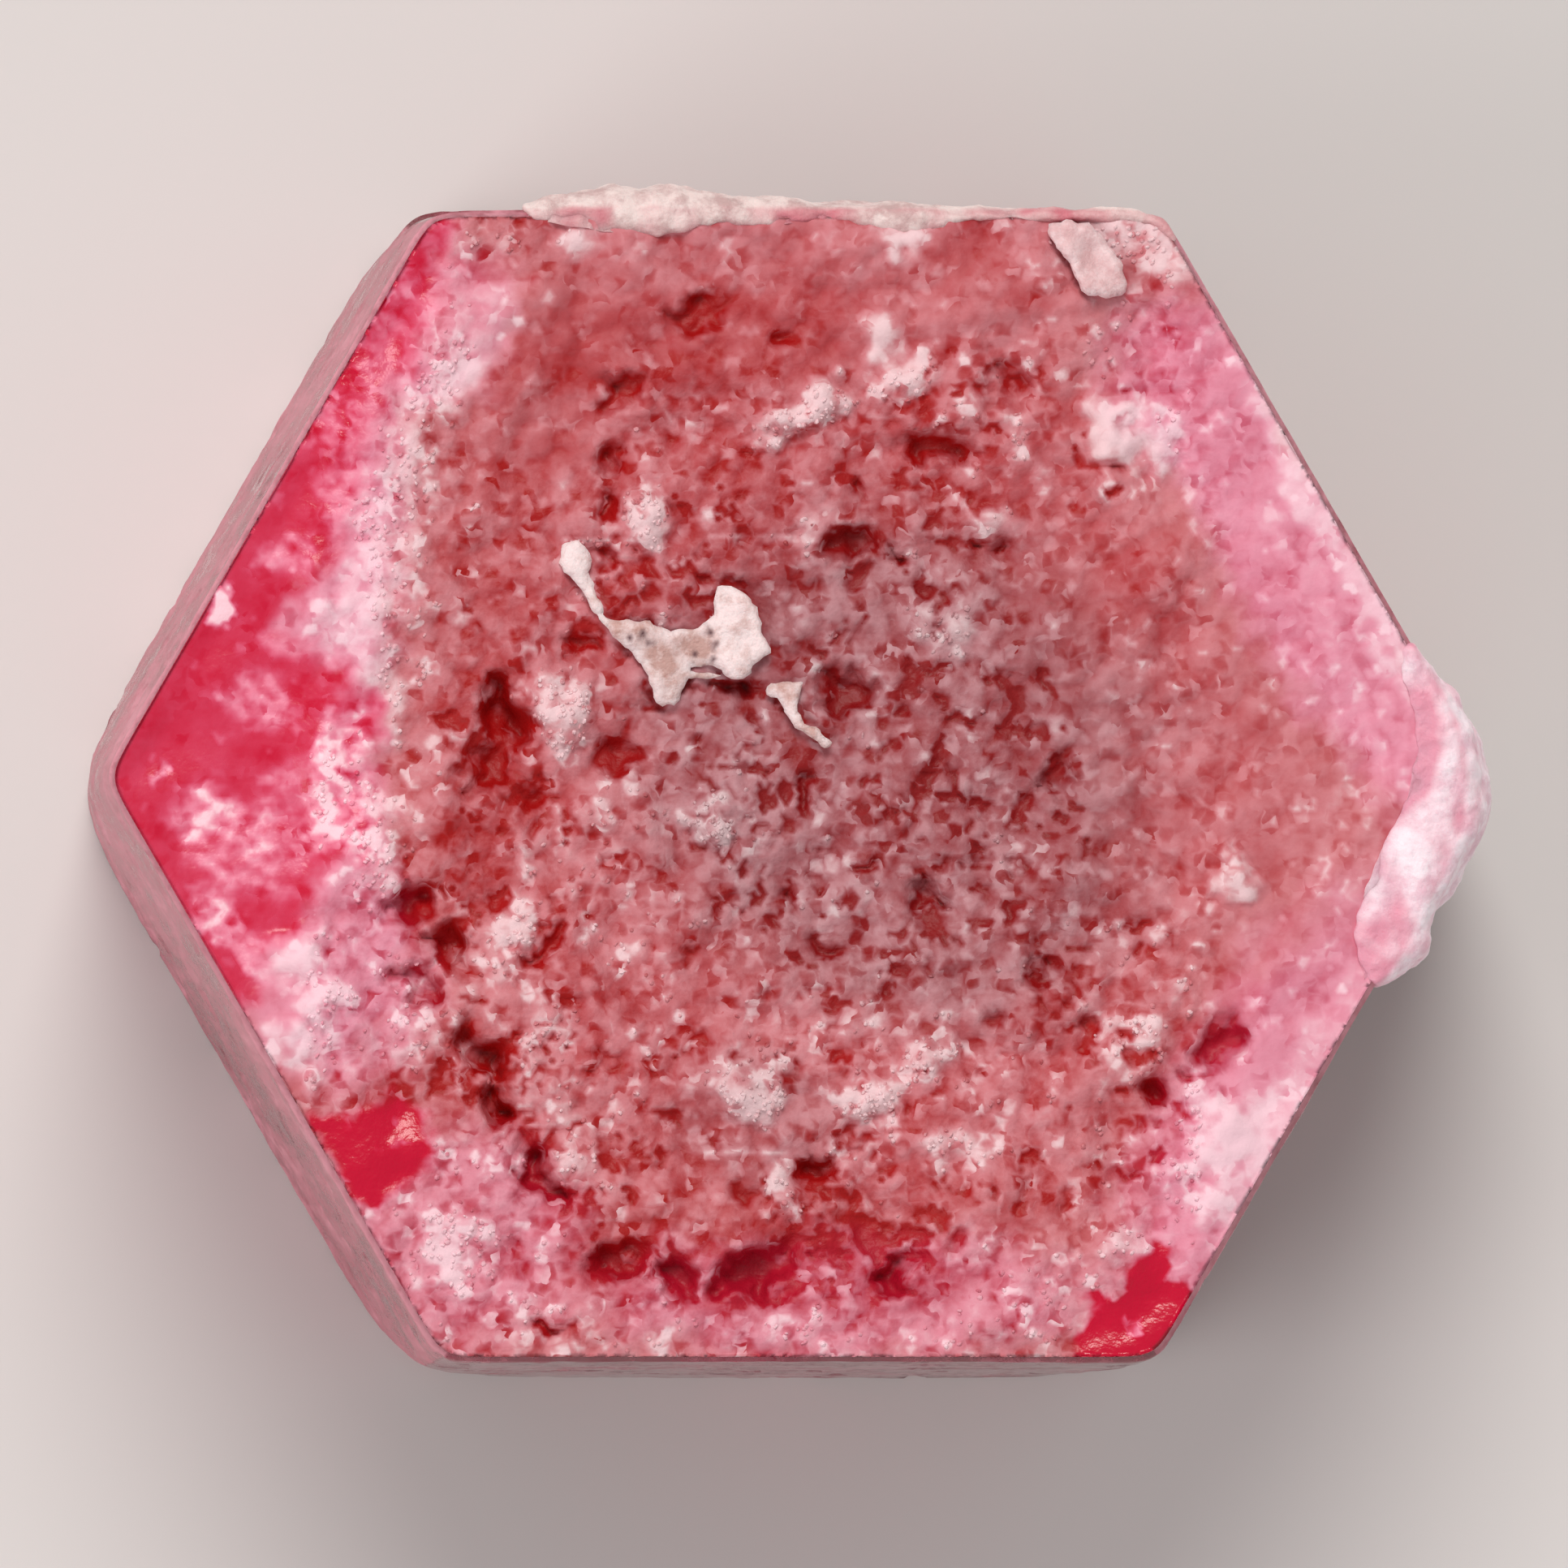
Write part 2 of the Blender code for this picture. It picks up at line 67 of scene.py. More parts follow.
# How sharp the prism's edges are at the top and, worn, at the base, and up to what height they are worn.
TOP_SHARPNESS = 70
BASE_SHARPNESS = 21
WORN_HEIGHT = 5.0
BASE_FLARE = 0.07
STEP_HEIGHT = 2.3
STEP_WAVE = 0.45
STEP_WAVE_TURN = 70
STEP_RISE = 0.06
EDGE_BEVEL = 0.05
# How frosted each prism face is, in the same order, and how frosted its bevelled upper edge is.
FACE_FROST = (0.10, 0.22, 0.62, 0.58, 0.06, 0.14)
RIM_FROST = (0.95, 0.95, 0.95, 0.95, 0.30, 0.95)
# Where chips were knocked off the edges: the middle of each, x, y and z, and its radius.
CHIPS = (
    (-3.45, -5.55, 0.0, 0.95),
    (5.55, 2.75, 0.1, 0.90),
    (2.1, 5.65, 0.0, 0.85),
    (4.25, -4.45, 0.2, 0.95),
    (-6.45, 0.9, 0.4, 0.95),
)

# Marks on the side faces: their size; the share of the height that counts, which draws them out up the face; a
# seed; and how far they push the face, or how much they frost it.
STRIAE = ((0.22, 0.08, 0.0, 0.010), (0.10, 0.15, 9.0, 0.006))
SIDE_CLOUDS = ((1.3, 0.4, 0.0, 0.35), (0.40, 0.3, 0.0, 0.25))
SIDE_GRAIN = (0.14, 0.5, 0.0, 0.25)
LEDGE_FROST, LEDGE_UNEVEN = 0.45, (0.40, 1.5, 0.0, 0.8)
LEDGE_REACH = 0.12
LOW_STEP_SIZE, LOW_STEP_PUSH = 0.8, 0.014
SIDE_PIT_SIZE, SIDE_PIT_DEPTH, SIDE_PIT_FROST = 0.30, 0.03, 0.25
FOOT_HEIGHT, FOOT_FROST = 0.6, 0.2
RIM_REACH, RIM_SHARE = 0.22, 0.65

# --- the etched end face, as in the solid ---
BASIN_CENTRE = (0.6, 0.25)
BASIN_STEPS = ((0.36, 0.05), (0.56, 0.06), (0.76, 0.05))
BASIN_STEP_SPREAD = 0.05
BASIN_WANDER = 0.07
RIM_WIDTH = 0.30
BUMP_SIZES = ((1.1, 0.06), (0.55, 0.07))
BUMP_STRENGTH = 1.6
PALE_BAND = ((-2.57, 3.96), (-2.91, 3.54), (-3.40, 3.06), (-3.47, 2.50), (-3.47, 1.95), (-3.81, 1.39),
             (-3.68, 0.77), (-3.81, 0.08), (-3.75, -0.69))
CURVED_RIDGE = ((-2.22, -1.87), (-2.15, -2.70), (-1.66, -3.46))
# Each ridge: its line, its half width and its height.
RIDGES = ((PALE_BAND, 0.42, 0.08), (CURVED_RIDGE, 0.32, 0.07))
CLEAR_CORNER_EDGE = -4.0
CLEAR_CORNER_FADE = 0.4
CLEAR_CORNER_DROP = 0.05
SMOOTH_SIDE_START = 3.0
SMOOTH_SIDE_CALM = 0.85

# --- how finely the crystal is divided ---
RINGS = 128
SIDE_ROW = 0.15

# Each etched hollow and each lump: x, y, half length, half width, its turn in degrees, and its depth or height.
# The first of each are in the solid. The small ones are only here.
HOLLOWS = (
    (-2.50, 0.56, 0.42, 0.26, 95, 0.32),
    (-2.64, 0.11, 0.28, 0.22, 30, 0.19),
    (-3.29, -1.10, 0.34, 0.24, 10, 0.27),
    (-3.23, -1.78, 0.26, 0.22, -40, 0.24),
    (-2.96, -1.45, 0.30, 0.20, -65, 0.24),
    (-2.66, -2.37, 0.34, 0.20, -55, 0.27),
    (-2.53, -2.78, 0.32, 0.22, -50, 0.27),
    (-2.18, -3.39, 0.40, 0.22, -45, 0.27),
    (-1.49, -4.12, 0.36, 0.22, 20, 0.24),
    (-1.01, -4.29, 0.36, 0.24, -10, 0.24),
    (-0.31, -4.20, 0.50, 0.26, 5, 0.32),
    (0.92, -4.20, 0.32, 0.22, 40, 0.27),
    (1.21, 2.83, 0.32, 0.20, -20, 0.22),
    (0.42, 2.00, 0.28, 0.20, -10, 0.22),
    (-0.83, 3.94, 0.26, 0.22, 0, 0.19),
    (-1.49, 3.34, 0.26, 0.22, 60, 0.19),
    (-1.60, 2.75, 0.26, 0.22, 80, 0.19),
    (1.87, 3.34, 0.32, 0.28, 90, 0.16),
    (3.64, -2.25, 0.28, 0.24, 90, 0.22),
    (3.05, -2.66, 0.26, 0.20, -10, 0.19),
    (2.15, -1.66, 0.28, 0.20, 10, 0.16),
    (2.22, -0.03, 0.28, 0.20, 40, 0.16),
    (1.11, -1.02, 0.30, 0.18, -20, 0.16),
    (0.42, 0.77, 0.30, 0.24, 0, 0.22),
    (0.29, -3.32, 0.30, 0.18, 35, 0.19),
)
SMALL_HOLLOWS = (
    (-2.22, -0.13, 0.30, 0.13, -35, 0.12),
    (-2.14, -1.41, 0.24, 0.12, 35, 0.12),
    (-0.03, -3.97, 0.20, 0.13, 20, 0.10),
    (0.87, 1.97, 0.14, 0.11, 0, 0.12),
    (0.61, 2.47, 0.19, 0.09, 100, 0.10),
    (1.72, 1.97, 0.21, 0.08, 0, 0.10),
    (-0.14, 3.72, 0.20, 0.11, -20, 0.10),
    (3.40, -2.49, 0.17, 0.10, 20, 0.10),
    (2.59, -2.07, 0.13, 0.11, 0, 0.10),
    (1.70, -1.94, 0.16, 0.11, 0, 0.10),
    (1.89, -0.72, 0.13, 0.11, 0, 0.09),
    (1.89, -1.14, 0.15, 0.11, 90, 0.09),
    (2.34, 0.22, 0.17, 0.09, 20, 0.09),
    (0.59, -0.74, 0.21, 0.10, 15, 0.10),
    (0.07, -0.10, 0.20, 0.10, 90, 0.12),
    (-0.01, -1.07, 0.16, 0.09, -60, 0.09),
    (0.28, -1.41, 0.20, 0.11, -20, 0.09),
    (-1.53, 0.22, 0.26, 0.17, 30, 0.12),
    (-1.84, 1.16, 0.19, 0.14, 0, 0.12),
    (-1.58, 1.88, 0.19, 0.12, 30, 0.10),
    (-1.60, 2.30, 0.22, 0.13, 90, 0.10),
    (-0.49, 0.78, 0.30, 0.09, 0, 0.12),
    (-0.47, -3.50, 0.18, 0.14, 0, 0.10),
    (-2.08, -4.64, 0.18, 0.11, -20, 0.12),
    (-1.70, -2.42, 0.25, 0.11, 0, 0.10),
)
LUMPS = (
    (0.21, 3.27, 0.34, 0.26, 60, 0.18),
    (-0.17, 3.06, 0.32, 0.20, 25, 0.14),
    (0.97, 3.43, 0.38, 0.24, 20, 0.15),
    (-1.28, 2.23, 0.32, 0.22, 100, 0.15),
    (2.71, 2.99, 0.40, 0.26, 110, 0.14),
    (3.09, 2.92, 0.44, 0.24, -65, 0.14),
    (-1.98, 0.56, 0.42, 0.32, 90, 0.14),
    (-0.38, -2.66, 0.36, 0.30, -10, 0.17),
    (0.61, -2.71, 0.36, 0.22, 10, 0.17),
    (1.11, -2.35, 0.34, 0.24, 30, 0.12),
    (2.91, -2.21, 0.32, 0.32, 0, 0.09),
    (3.76, -0.83, 0.26, 0.24, 90, 0.15),
    (-0.73, -0.31, 0.30, 0.26, 0, 0.14),
    (-0.10, -3.53, 0.30, 0.20, -45, 0.11),
    (1.39, -3.11, 0.40, 0.30, 0, 0.09),
    (-2.39, -1.28, 0.30, 0.22, 60, 0.11),
    (-4.23, -1.41, 0.32, 0.30, -30, 0.12),
    (-4.06, -1.90, 0.34, 0.26, 70, 0.12),
    (-4.37, -2.25, 0.28, 0.26, 0, 0.11),
    (-2.91, -4.00, 0.46, 0.38, 0, 0.09),
    (1.25, 1.32, 0.40, 0.32, 70, 0.09),
    (3.60, -2.95, 0.50, 0.30, -60, 0.09),
)
SMALL_LUMPS = (
    (0.66, 3.79, 0.26, 0.16, 0, 0.06),
    (2.65, 2.43, 0.18, 0.12, -60, 0.06),
    (-1.84, 4.60, 0.22, 0.12, 0, 0.04),
    (0.90, 4.62, 0.33, 0.17, 15, 0.05),
    (3.09, -1.28, 0.13, 0.12, 0, 0.05),
    (3.43, -1.35, 0.10, 0.09, 0, 0.05),
    (3.31, -1.76, 0.17, 0.10, 60, 0.05),
    (-1.73, -0.27, 0.26, 0.16, 0, 0.06),
    (-2.32, -0.72, 0.24, 0.10, 95, 0.06),
    (-1.84, -0.89, 0.19, 0.14, 0, 0.05),
    (-4.06, -2.63, 0.19, 0.13, 90, 0.05),
    (-3.23, -2.28, 0.33, 0.26, 0, 0.05),
    (1.70, 2.23, 0.26, 0.21, 0, 0.05),
    (3.47, -3.50, 0.45, 0.26, -60, 0.05),
    (2.77, -3.95, 0.30, 0.23, 0, 0.05),
    (1.46, -0.01, 0.12, 0.14, 0, 0.05),
)
# A hollow's six sides lie inside its oval, and its walls take up this share of it.
HOLLOW_REACH = 0.85
HOLLOW_WALL = 0.62
# Small dark pits: long and narrow, along the crystal's own directions, with this share of the face in each.
PIT_TURNS = (0, 60, -60)
PIT_LENGTH = 0.16
PIT_WIDTH = 0.085
PIT_SHARE = 0.05
PIT_DEPTH = 0.045
# Faint growth lines near the right-hand corner, and fine scratches.
GROWTH_LINES = (
    ((4.80, -1.10), (4.92, -0.50), (4.93, 0.25), (4.75, 0.95), (4.45, 1.60), (4.05, 2.30)),
    ((5.12, -0.62), (5.20, 0.05), (5.08, 0.70)),
    ((4.55, -0.75), (4.66, -0.10), (4.58, 0.60)),
)
SCRATCHES = (
    ((-1.95, 2.04), (-1.15, 2.05)),
    ((-0.70, 2.08), (0.14, 2.06)),
    ((-0.76, -3.17), (-0.08, -3.18)),
    ((1.30, 2.56), (1.62, 2.10)),
)
# Each layer of etched grains: their size, how high they stand, and how much paler their middles and some of them
# are. The few finest grains with the highest numbers are painted whitest, as painted highlights for glints.
GRAIN_LAYERS = ((0.30, 0.038, 0.12, 0.12), (0.15, 0.020, 0.14, 0.12), (0.085, 0.009, 0.04, 0.06))
PAINTED_GLINT_START, PAINTED_GLINT_FROST = 0.945, 0.55
# How a hollow's or a patch's outline wanders: the size of each wander, and its reach.
WANDERS = ((0.45, 0.12), (0.22, 0.10), (0.11, 0.08))
# Clouds in the frosting: their size, and how much paler they are.
CLOUDS = ((0.9, 0.08), (0.33, 0.16), (0.16, 0.14))

# --- where the end face is pale, clear, brownish or pink ---
# A hollow this deep, or a lump this high, has its full colour.
FULL_HOLLOW, FULL_SMALL_HOLLOW, FULL_LUMP = 0.26, 0.10, 0.12
# Frost is how white the etching is: its level, what ridges, lines and lumps add to it, and what hollows take off.
# On lumps and in hollows it is uneven: the second number is by how much, and the third is over what size.
FROST_LEVEL = 0.52
PALE_BAND_FROST, PALE_BAND_WIDTH = 0.40, 0.42
CURVED_RIDGE_FROST, CURVED_RIDGE_WIDTH = 0.34, 0.24
GROWTH_LINE_FROST, GROWTH_LINE_WIDTH = 0.16, 0.07
SCRATCH_FROST, SCRATCH_WIDTH = 0.35, 0.025
LUMP_FROST = (0.42, 0.35, 0.14)
HOLLOW_FROST = (0.50, 0.60, 0.15)
CLEAR_LUMP_FROST = 0.30
# Frost on the clear corner lies in streaks: their width and length, and what the frost is worth by itself, in a
# streak, and with noise of the last size.
STREAK_WIDTH, STREAK_LENGTH = 0.10, 0.32
STREAKED_FROST = (0.70, 1.4, 0.6, 0.09)
SUGAR_START, SUGAR_CONTRAST, SUGAR_MARGIN = 0.50, 0.75, 0.08
# Patches: x, y, half length, half width, turn in degrees, and how much.
FROST_PATCHES = (
    (0.05, 3.20, 0.48, 0.20, 32, 0.40),
    (0.85, 3.62, 0.44, 0.18, -30, 0.35),
    (-1.28, 2.25, 0.16, 0.28, 0, 0.40),
    (0.02, 2.15, 0.16, 0.18, 0, 0.30),
    (1.88, 2.93, 0.26, 0.14, -45, 0.30),
    (0.56, -2.74, 0.22, 0.17, 0, 0.35),
    (2.95, 4.60, 0.60, 0.36, -20, 0.50),
    (0.93, 4.62, 0.38, 0.24, 10, 0.36),
    (-1.80, 4.62, 0.34, 0.20, 0, 0.34),
    (-2.75, 4.62, 0.45, 0.18, 0, 0.20),
    (-3.72, -0.12, 0.28, 0.65, 0, 0.16),
    (0.3, 1.6, 3.2, 2.2, 0, -0.10),
    (1.7, -0.4, 1.8, 1.4, 0, -0.06),
    (-0.9, 3.75, 1.9, 0.55, 5, -0.22),
    (1.0, 4.3, 2.2, 0.35, 0, -0.08),
    (-2.2, 3.1, 0.75, 0.65, 60, -0.14),
    (-2.35, 1.60, 0.55, 1.2, 0, -0.10),
    (-2.60, 0.10, 0.60, 1.3, 0, -0.16),
    (-3.0, -0.9, 0.7, 0.7, 0, -0.12),
    (-3.10, 4.25, 0.50, 0.40, 60, 0.10),
    (4.68, 2.10, 0.30, 2.7, 30, 0.42),
    (-2.6, 4.0, 0.5, 0.5, 0, -0.14),
    (4.55, -2.35, 0.40, 1.9, -32, 0.28),
    (3.75, -3.20, 0.60, 1.1, -32, 0.22),
    (2.0, -4.55, 1.5, 0.40, 4, 0.12),
    (-2.4, -4.25, 0.9, 0.5, -15, 0.12),
    (-3.4, -2.0, 0.9, 0.6, -50, 0.16),
    (-4.2, -1.7, 0.35, 0.45, 30, 0.30),
    (-4.05, -2.35, 0.35, 0.30, 60, 0.30),
    (-2.4, -1.35, 0.6, 0.35, 20, 0.08),
    (-2.0, 0.7, 0.35, 0.6, 15, 0.10),
    (2.92, 2.90, 0.66, 0.46, -70, 0.18),
    (0.3, -4.25, 1.8, 0.36, 0, -0.08),
    (0.2, -1.9, 0.9, 0.5, 0, 0.10),
    (-0.35, -2.65, 0.55, 0.40, 0, 0.18),
    (0.75, -2.55, 0.70, 0.25, 25, 0.16),
    (-0.6, -4.1, 2.4, 0.6, 0, -0.21),
    (0.7, -3.6, 1.3, 0.4, 15, -0.05),
    (-0.4, -2.4, 2.6, 1.6, 0, -0.08),
    (2.6, 0.4, 1.4, 2.4, 0, -0.05),
    (3.65, -1.95, 0.35, 0.7, -30, -0.10),
)
# Frost that lies on the clear corner. The first two patches are painted highlights, whiter streaks for glints on
# the corner's edge, and the one at x -4.95, y -1.15 is frost that also stands for glints there.
CORNER_FROST_AND_GLINTS = (
    (-4.85, 1.50, 0.26, 0.10, 60, 1.60),
    (-5.42, 0.05, 0.12, 0.08, 60, 0.80),
    (-4.85, -0.55, 0.70, 0.42, -50, 0.38),
    (-5.15, -0.25, 0.30, 0.30, 0, 0.22),
    (-4.95, -1.15, 0.36, 0.22, -50, 0.65),
    (-3.82, -0.12, 0.36, 0.90, 0, 0.74),
    (-4.30, -0.35, 0.40, 0.60, 0, 0.30),
    (-4.60, 0.65, 0.40, 0.30, 0, 0.30),
    (-4.15, 1.30, 0.50, 0.28, 30, 0.32),
    (-4.35, 1.90, 0.30, 0.20, 60, 0.50),
    (-3.75, 2.45, 0.40, 0.50, -20, 0.34),
    (-3.85, 3.05, 0.40, 0.30, 0, 0.25),
    (-3.40, 3.85, 0.70, 0.45, 60, 0.17),
    (-4.55, -1.55, 0.30, 0.20, -55, 0.40),
    (-3.45, -3.05, 0.20, 0.10, 20, 0.25),
    (2.83, -4.66, 0.10, 0.12, 0, 0.45),
)
CLEAR_CORNER = ((-6.2, 0.2), (-5.3, 1.3), (-4.5, 2.6), (-3.81, 3.75), (-3.3, 4.6), (-2.9, 5.2), (-3.0, 4.45),
                (-3.04, 4.02), (-3.36, 3.52), (-3.62, 2.92), (-3.78, 2.23), (-4.02, 1.85), (-4.30, 1.55),
                (-4.40, 1.32), (-4.05, 0.95), (-3.60, 0.72), (-3.52, 0.08), (-3.58, -0.62), (-4.10, -0.90),
                (-4.30, -1.30), (-4.55, -1.75), (-4.85, -2.0), (-5.35, -1.2))
CLEAR_PATCH = ((-4.16, -2.90), (-3.81, -2.83), (-3.47, -2.78), (-3.12, -2.91), (-3.11, -3.18), (-3.29, -3.43),
               (-3.54, -3.67), (-3.82, -3.55))
CLEAR_WINDOW = ((2.36, -5.2), (2.43, -4.71), (2.52, -4.45), (2.79, -4.38), (2.87, -4.12), (3.12, -3.98),
                (3.26, -4.14), (3.21, -4.29), (3.60, -4.38), (3.29, -5.2))
# Each clear region: its outline, how soft its edge is, and how much frosting veils it.
CLEAR_REGIONS = ((CLEAR_CORNER, 0.16, 0.20), (CLEAR_PATCH, 0.10, -0.08), (CLEAR_WINDOW, 0.04, -0.12))
# Where the grains of the etching run together.
SOFT_PATCHES = (
    (-4.05, 0.7, 0.75, 2.6, 0, 0.5),
    (0.0, 4.2, 3.4, 0.9, 0, 0.7),
    (-2.2, 3.4, 0.9, 1.0, 0, 0.7),
    (2.9, 1.2, 1.3, 3.2, 10, 0.6),
)
# Where small dark pits are close together.
PITTED_PATCHES = (
    (0.9, -0.6, 2.4, 2.6, 0, 1.0),
    (-0.4, 1.8, 2.2, 1.5, 0, 0.7),
    (-0.5, -3.4, 2.9, 1.5, 0, 1.0),
    (-2.6, -1.2, 1.2, 2.2, -20, 0.7),
    (2.6, -2.6, 1.3, 1.4, 0, 0.7),
    (2.0, 3.0, 1.4, 0.9, 0, 0.6),
    (-2.6, 0.6, 0.6, 1.2, 0, 0.8),
)
BROWN_PATCHES = (
    (0.8, 0.2, 2.9, 2.7, 0, 1.0),
    (1.5, -1.0, 1.8, 1.6, 0, 0.5),
    (-0.3, -2.9, 1.0, 0.8, 0, 0.5),
)
PINK_PATCHES = (
    (-4.3, 1.6, 1.1, 3.6, -10, 1.0),
    (-4.2, -1.4, 1.2, 1.6, 30, 0.9),
    (-4.9, -0.4, 0.9, 1.2, 0, 1.0),
    (4.5, 1.5, 0.75, 3.2, 30, 1.0),
    (4.2, -2.9, 1.3, 2.8, -30, 0.9),
    (3.4, 3.4, 1.0, 1.0, 0, 0.7),
    (-3.0, 3.9, 0.9, 0.8, 60, 0.7),
    (-3.0, -3.9, 1.5, 1.2, 0, 0.6),
    (0.4, -4.4, 2.8, 0.7, 0, 0.6),
)

# --- what lies on the end face ---
CONTACT_GAP = 0.03
# How finely the sheets are divided, how far round each point they clear the crystal, and how wide their rounded
# edges are.
SHEET_STEP = 0.045
SHEET_REACH = 0.16
SHEET_ROUNDING = 0.05
# A sheet's share of its thickness, how uneven that is and over what size, how much a plate adds, and fine bumps.
SHEET_SHARE, SHEET_UNEVEN, SHEET_UNEVEN_SIZE, PLATE_SHARE = 0.75, 0.6, 0.30, 0.5
SHEET_BUMP, SHEET_BUMP_SIZE = 0.020, 0.09
FILM_THICKNESS = 0.055
FILM_OUTLINE = (
    (-1.63, 1.36), (-1.28, 1.37), (-1.18, 1.33), (-1.13, 1.28), (-0.85, 1.28), (-0.79, 1.37), (-0.72, 1.40),
    (-0.68, 1.41), (-0.68, 1.65), (-0.61, 1.66), (-0.52, 1.65), (-0.44, 1.61), (-0.37, 1.54), (-0.32, 1.44),
    (-0.30, 1.33), (-0.29, 1.24), (-0.24, 1.19), (-0.215, 1.11), (-0.25, 1.04), (-0.33, 1.01), (-0.37, 0.97),
    (-0.38, 0.90), (-0.42, 0.86), (-0.52, 0.86), (-0.60, 0.90), (-0.64, 0.96), (-0.89, 0.97), (-0.90, 0.93),
    (-0.64, 0.90), (-0.66, 0.87), (-0.88, 0.87), (-0.93, 0.83), (-0.96, 0.75), (-1.00, 0.66), (-1.12, 0.64),
    (-1.21, 0.67), (-1.24, 0.80), (-1.27, 0.92), (-1.33, 1.01), (-1.46, 1.13), (-1.58, 1.25), (-1.66, 1.35),
    (-1.74, 1.46), (-1.82, 1.60), (-1.90, 1.72), (-1.98, 1.79), (-2.02, 1.87), (-2.01, 1.97), (-1.95, 2.04),
    (-1.87, 2.05), (-1.80, 2.01), (-1.75, 1.92), (-1.75, 1.80), (-1.73, 1.66), (-1.67, 1.52),
)
FRAGMENT_OUTLINE = (
    (-0.26, 0.79), (-0.17, 0.82), (-0.07, 0.85), (0.05, 0.85), (0.08, 0.82), (0.04, 0.72), (0.03, 0.62),
    (0.06, 0.53), (0.10, 0.48), (0.21, 0.46), (0.25, 0.40), (0.31, 0.33), (0.29, 0.27), (0.24, 0.27),
    (0.17, 0.35), (0.09, 0.39), (0.02, 0.43), (-0.03, 0.50), (-0.08, 0.60), (-0.13, 0.68), (-0.21, 0.72),
)
FLAKE_THICKNESS = 0.12
FLAKE_OUTLINE = (
    (2.14, 4.78), (2.50, 4.78), (2.58, 4.71), (2.63, 4.63), (2.72, 4.53), (2.79, 4.41), (2.82, 4.28),
    (2.81, 4.16), (2.68, 4.12), (2.56, 4.12), (2.46, 4.16), (2.40, 4.27), (2.34, 4.40), (2.25, 4.53),
    (2.16, 4.66),
)
# Their outlines are ragged: the length of each step along them, how far it moves, and the size of its noise.
RAGGED_STEP = 0.03
RAGGED_REACH = 0.035
RAGGED_SIZE = 0.08
# Dark pinholes in the film: x, y and half width. They are painted shade: dark spots instead of pinholes cut through
# the film.
PINHOLES = ((-1.31, 1.24, 0.026), (-1.24, 1.17, 0.020), (-0.73, 1.27, 0.026), (-0.69, 1.15, 0.024),
            (-0.71, 1.04, 0.018), (-1.26, 1.05, 0.014), (-1.42, 1.20, 0.020), (-0.86, 1.08, 0.016))
# Two parts of the film are thicker and whiter: x, y, half width and half height. The first one curls up at its
# outer edge, by this much.
PLATES = ((-0.47, 1.24, 0.26, 0.42), (-1.88, 1.90, 0.15, 0.20))
PLATE_RISE = 0.11

# --- what laps over the edge of the end face, as in the solid ---
# Stations round the outline. Each: its angle in degrees, how far it stands out from the side face, how far it
# laps in over the end face, how far down the side it runs, and how high it stands above the end face.
CRUST_STATIONS = (
    (54.6, 0.03, 0.05, 0.20, 0.02),
    (60, 0.06, 0.08, 0.45, 0.03),
    (66, 0.07, 0.06, 0.35, 0.03),
    (72, 0.07, 0.05, 0.50, 0.03),
    (78, 0.10, 0.20, 0.70, 0.05),
    (82, 0.12, 0.12, 0.80, 0.05),
    (87, 0.14, 0.06, 0.60, 0.04),
    (93, 0.17, 0.12, 0.65, 0.05),
    (98, 0.21, 0.07, 0.85, 0.05),
    (103, 0.25, 0.18, 1.00, 0.06),
    (108, 0.26, 0.20, 0.90, 0.06),
    (112, 0.20, 0.15, 0.60, 0.05),
    (115.5, 0.09, 0.06, 0.25, 0.03),
)
KNOB_STATIONS = (
    (12.5, 0.05, 0.10, 0.50, 0.03),
    (9.5, 0.10, 0.22, 1.10, 0.04),
    (7, 0.18, 0.27, 1.60, 0.06),
    (4, 0.26, 0.34, 1.85, 0.08),
    (0, 0.26, 0.46, 1.95, 0.09),
    (-4, 0.27, 0.54, 1.90, 0.09),
    (-7.5, 0.23, 0.60, 1.80, 0.09),
    (-10.5, 0.19, 0.56, 1.60, 0.08),
    (-13, 0.23, 0.46, 1.45, 0.08),
    (-15, 0.28, 0.38, 1.25, 0.07),
    (-17, 0.17, 0.27, 0.90, 0.05),
    (-19.5, 0.05, 0.10, 0.45, 0.03),
)
# Their own bumps: each size, and how far it pushes. Then how much their reach outwards and their lower edge vary
# along the outline, how closely, and how deep they sit in the crystal.
CRUST_ROUGHNESS = ((0.45, 0.05), (0.16, 0.025), (0.07, 0.008))
KNOB_ROUGHNESS = ((0.60, 0.08), (0.20, 0.03), (0.08, 0.012))
SWELL = 0.35
RAGGED = 0.16
SWELLS_PER_TURN = 16.0
GROWTH_EMBED = 0.02
# How many sections lie between two stations, and how often the surface is subdivided.
GROWTH_STEPS = 4
GROWTH_ROUNDING = 3
# Where the crystal's pink shows through them: x, y, half length, half width, turn and how much. It also shows
# where they are thin at their feet, and in soft spots.
BLUSHES = (
    (5.20, 0.25, 0.62, 0.42, 80, 1.0),
    (5.00, -1.45, 0.45, 0.30, 60, 0.6),
    (0.00, 4.90, 4.50, 0.60, 0, -0.30),
    (-1.85, 4.80, 0.35, 0.16, 0, 0.5),
    (0.15, 4.80, 0.55, 0.12, 0, 0.5),
    (2.30, 4.85, 0.50, 0.12, 0, 0.5),
)
BLUSH_WIDTH, BLUSH_AT_FOOT = 0.10, 0.7
BLUSH_NOISE_SIZE, BLUSH_NOISE = 0.22, 0.6

# --- the grains of beryl that stand out of the frosting ---
SUGAR = {"Grains per square metre": 190.0e6, "Smallest": 0.012 * MM, "Largest": 0.032 * MM, "Seed": 7}
WHOLE_TURN = 6.28

# --- the view ---
FRAME_PIXELS = 1932
PIXELS_PER_MM = 144.17
AXIS_PIXEL = (980, 961)
SENSOR_WIDTH = 36.0
CAMERA_DISTANCE = 600.0
CAMERA_TILT = 2.7
CAMERA_TURN = 201


# --- numbers in arrays ---
def smooth(value):
    """0 below 0, 1 above 1, with an even curve between. Takes a number or an array."""
    value = np.clip(value, 0.0, 1.0)
    return value * value * (3.0 - 2.0 * value)


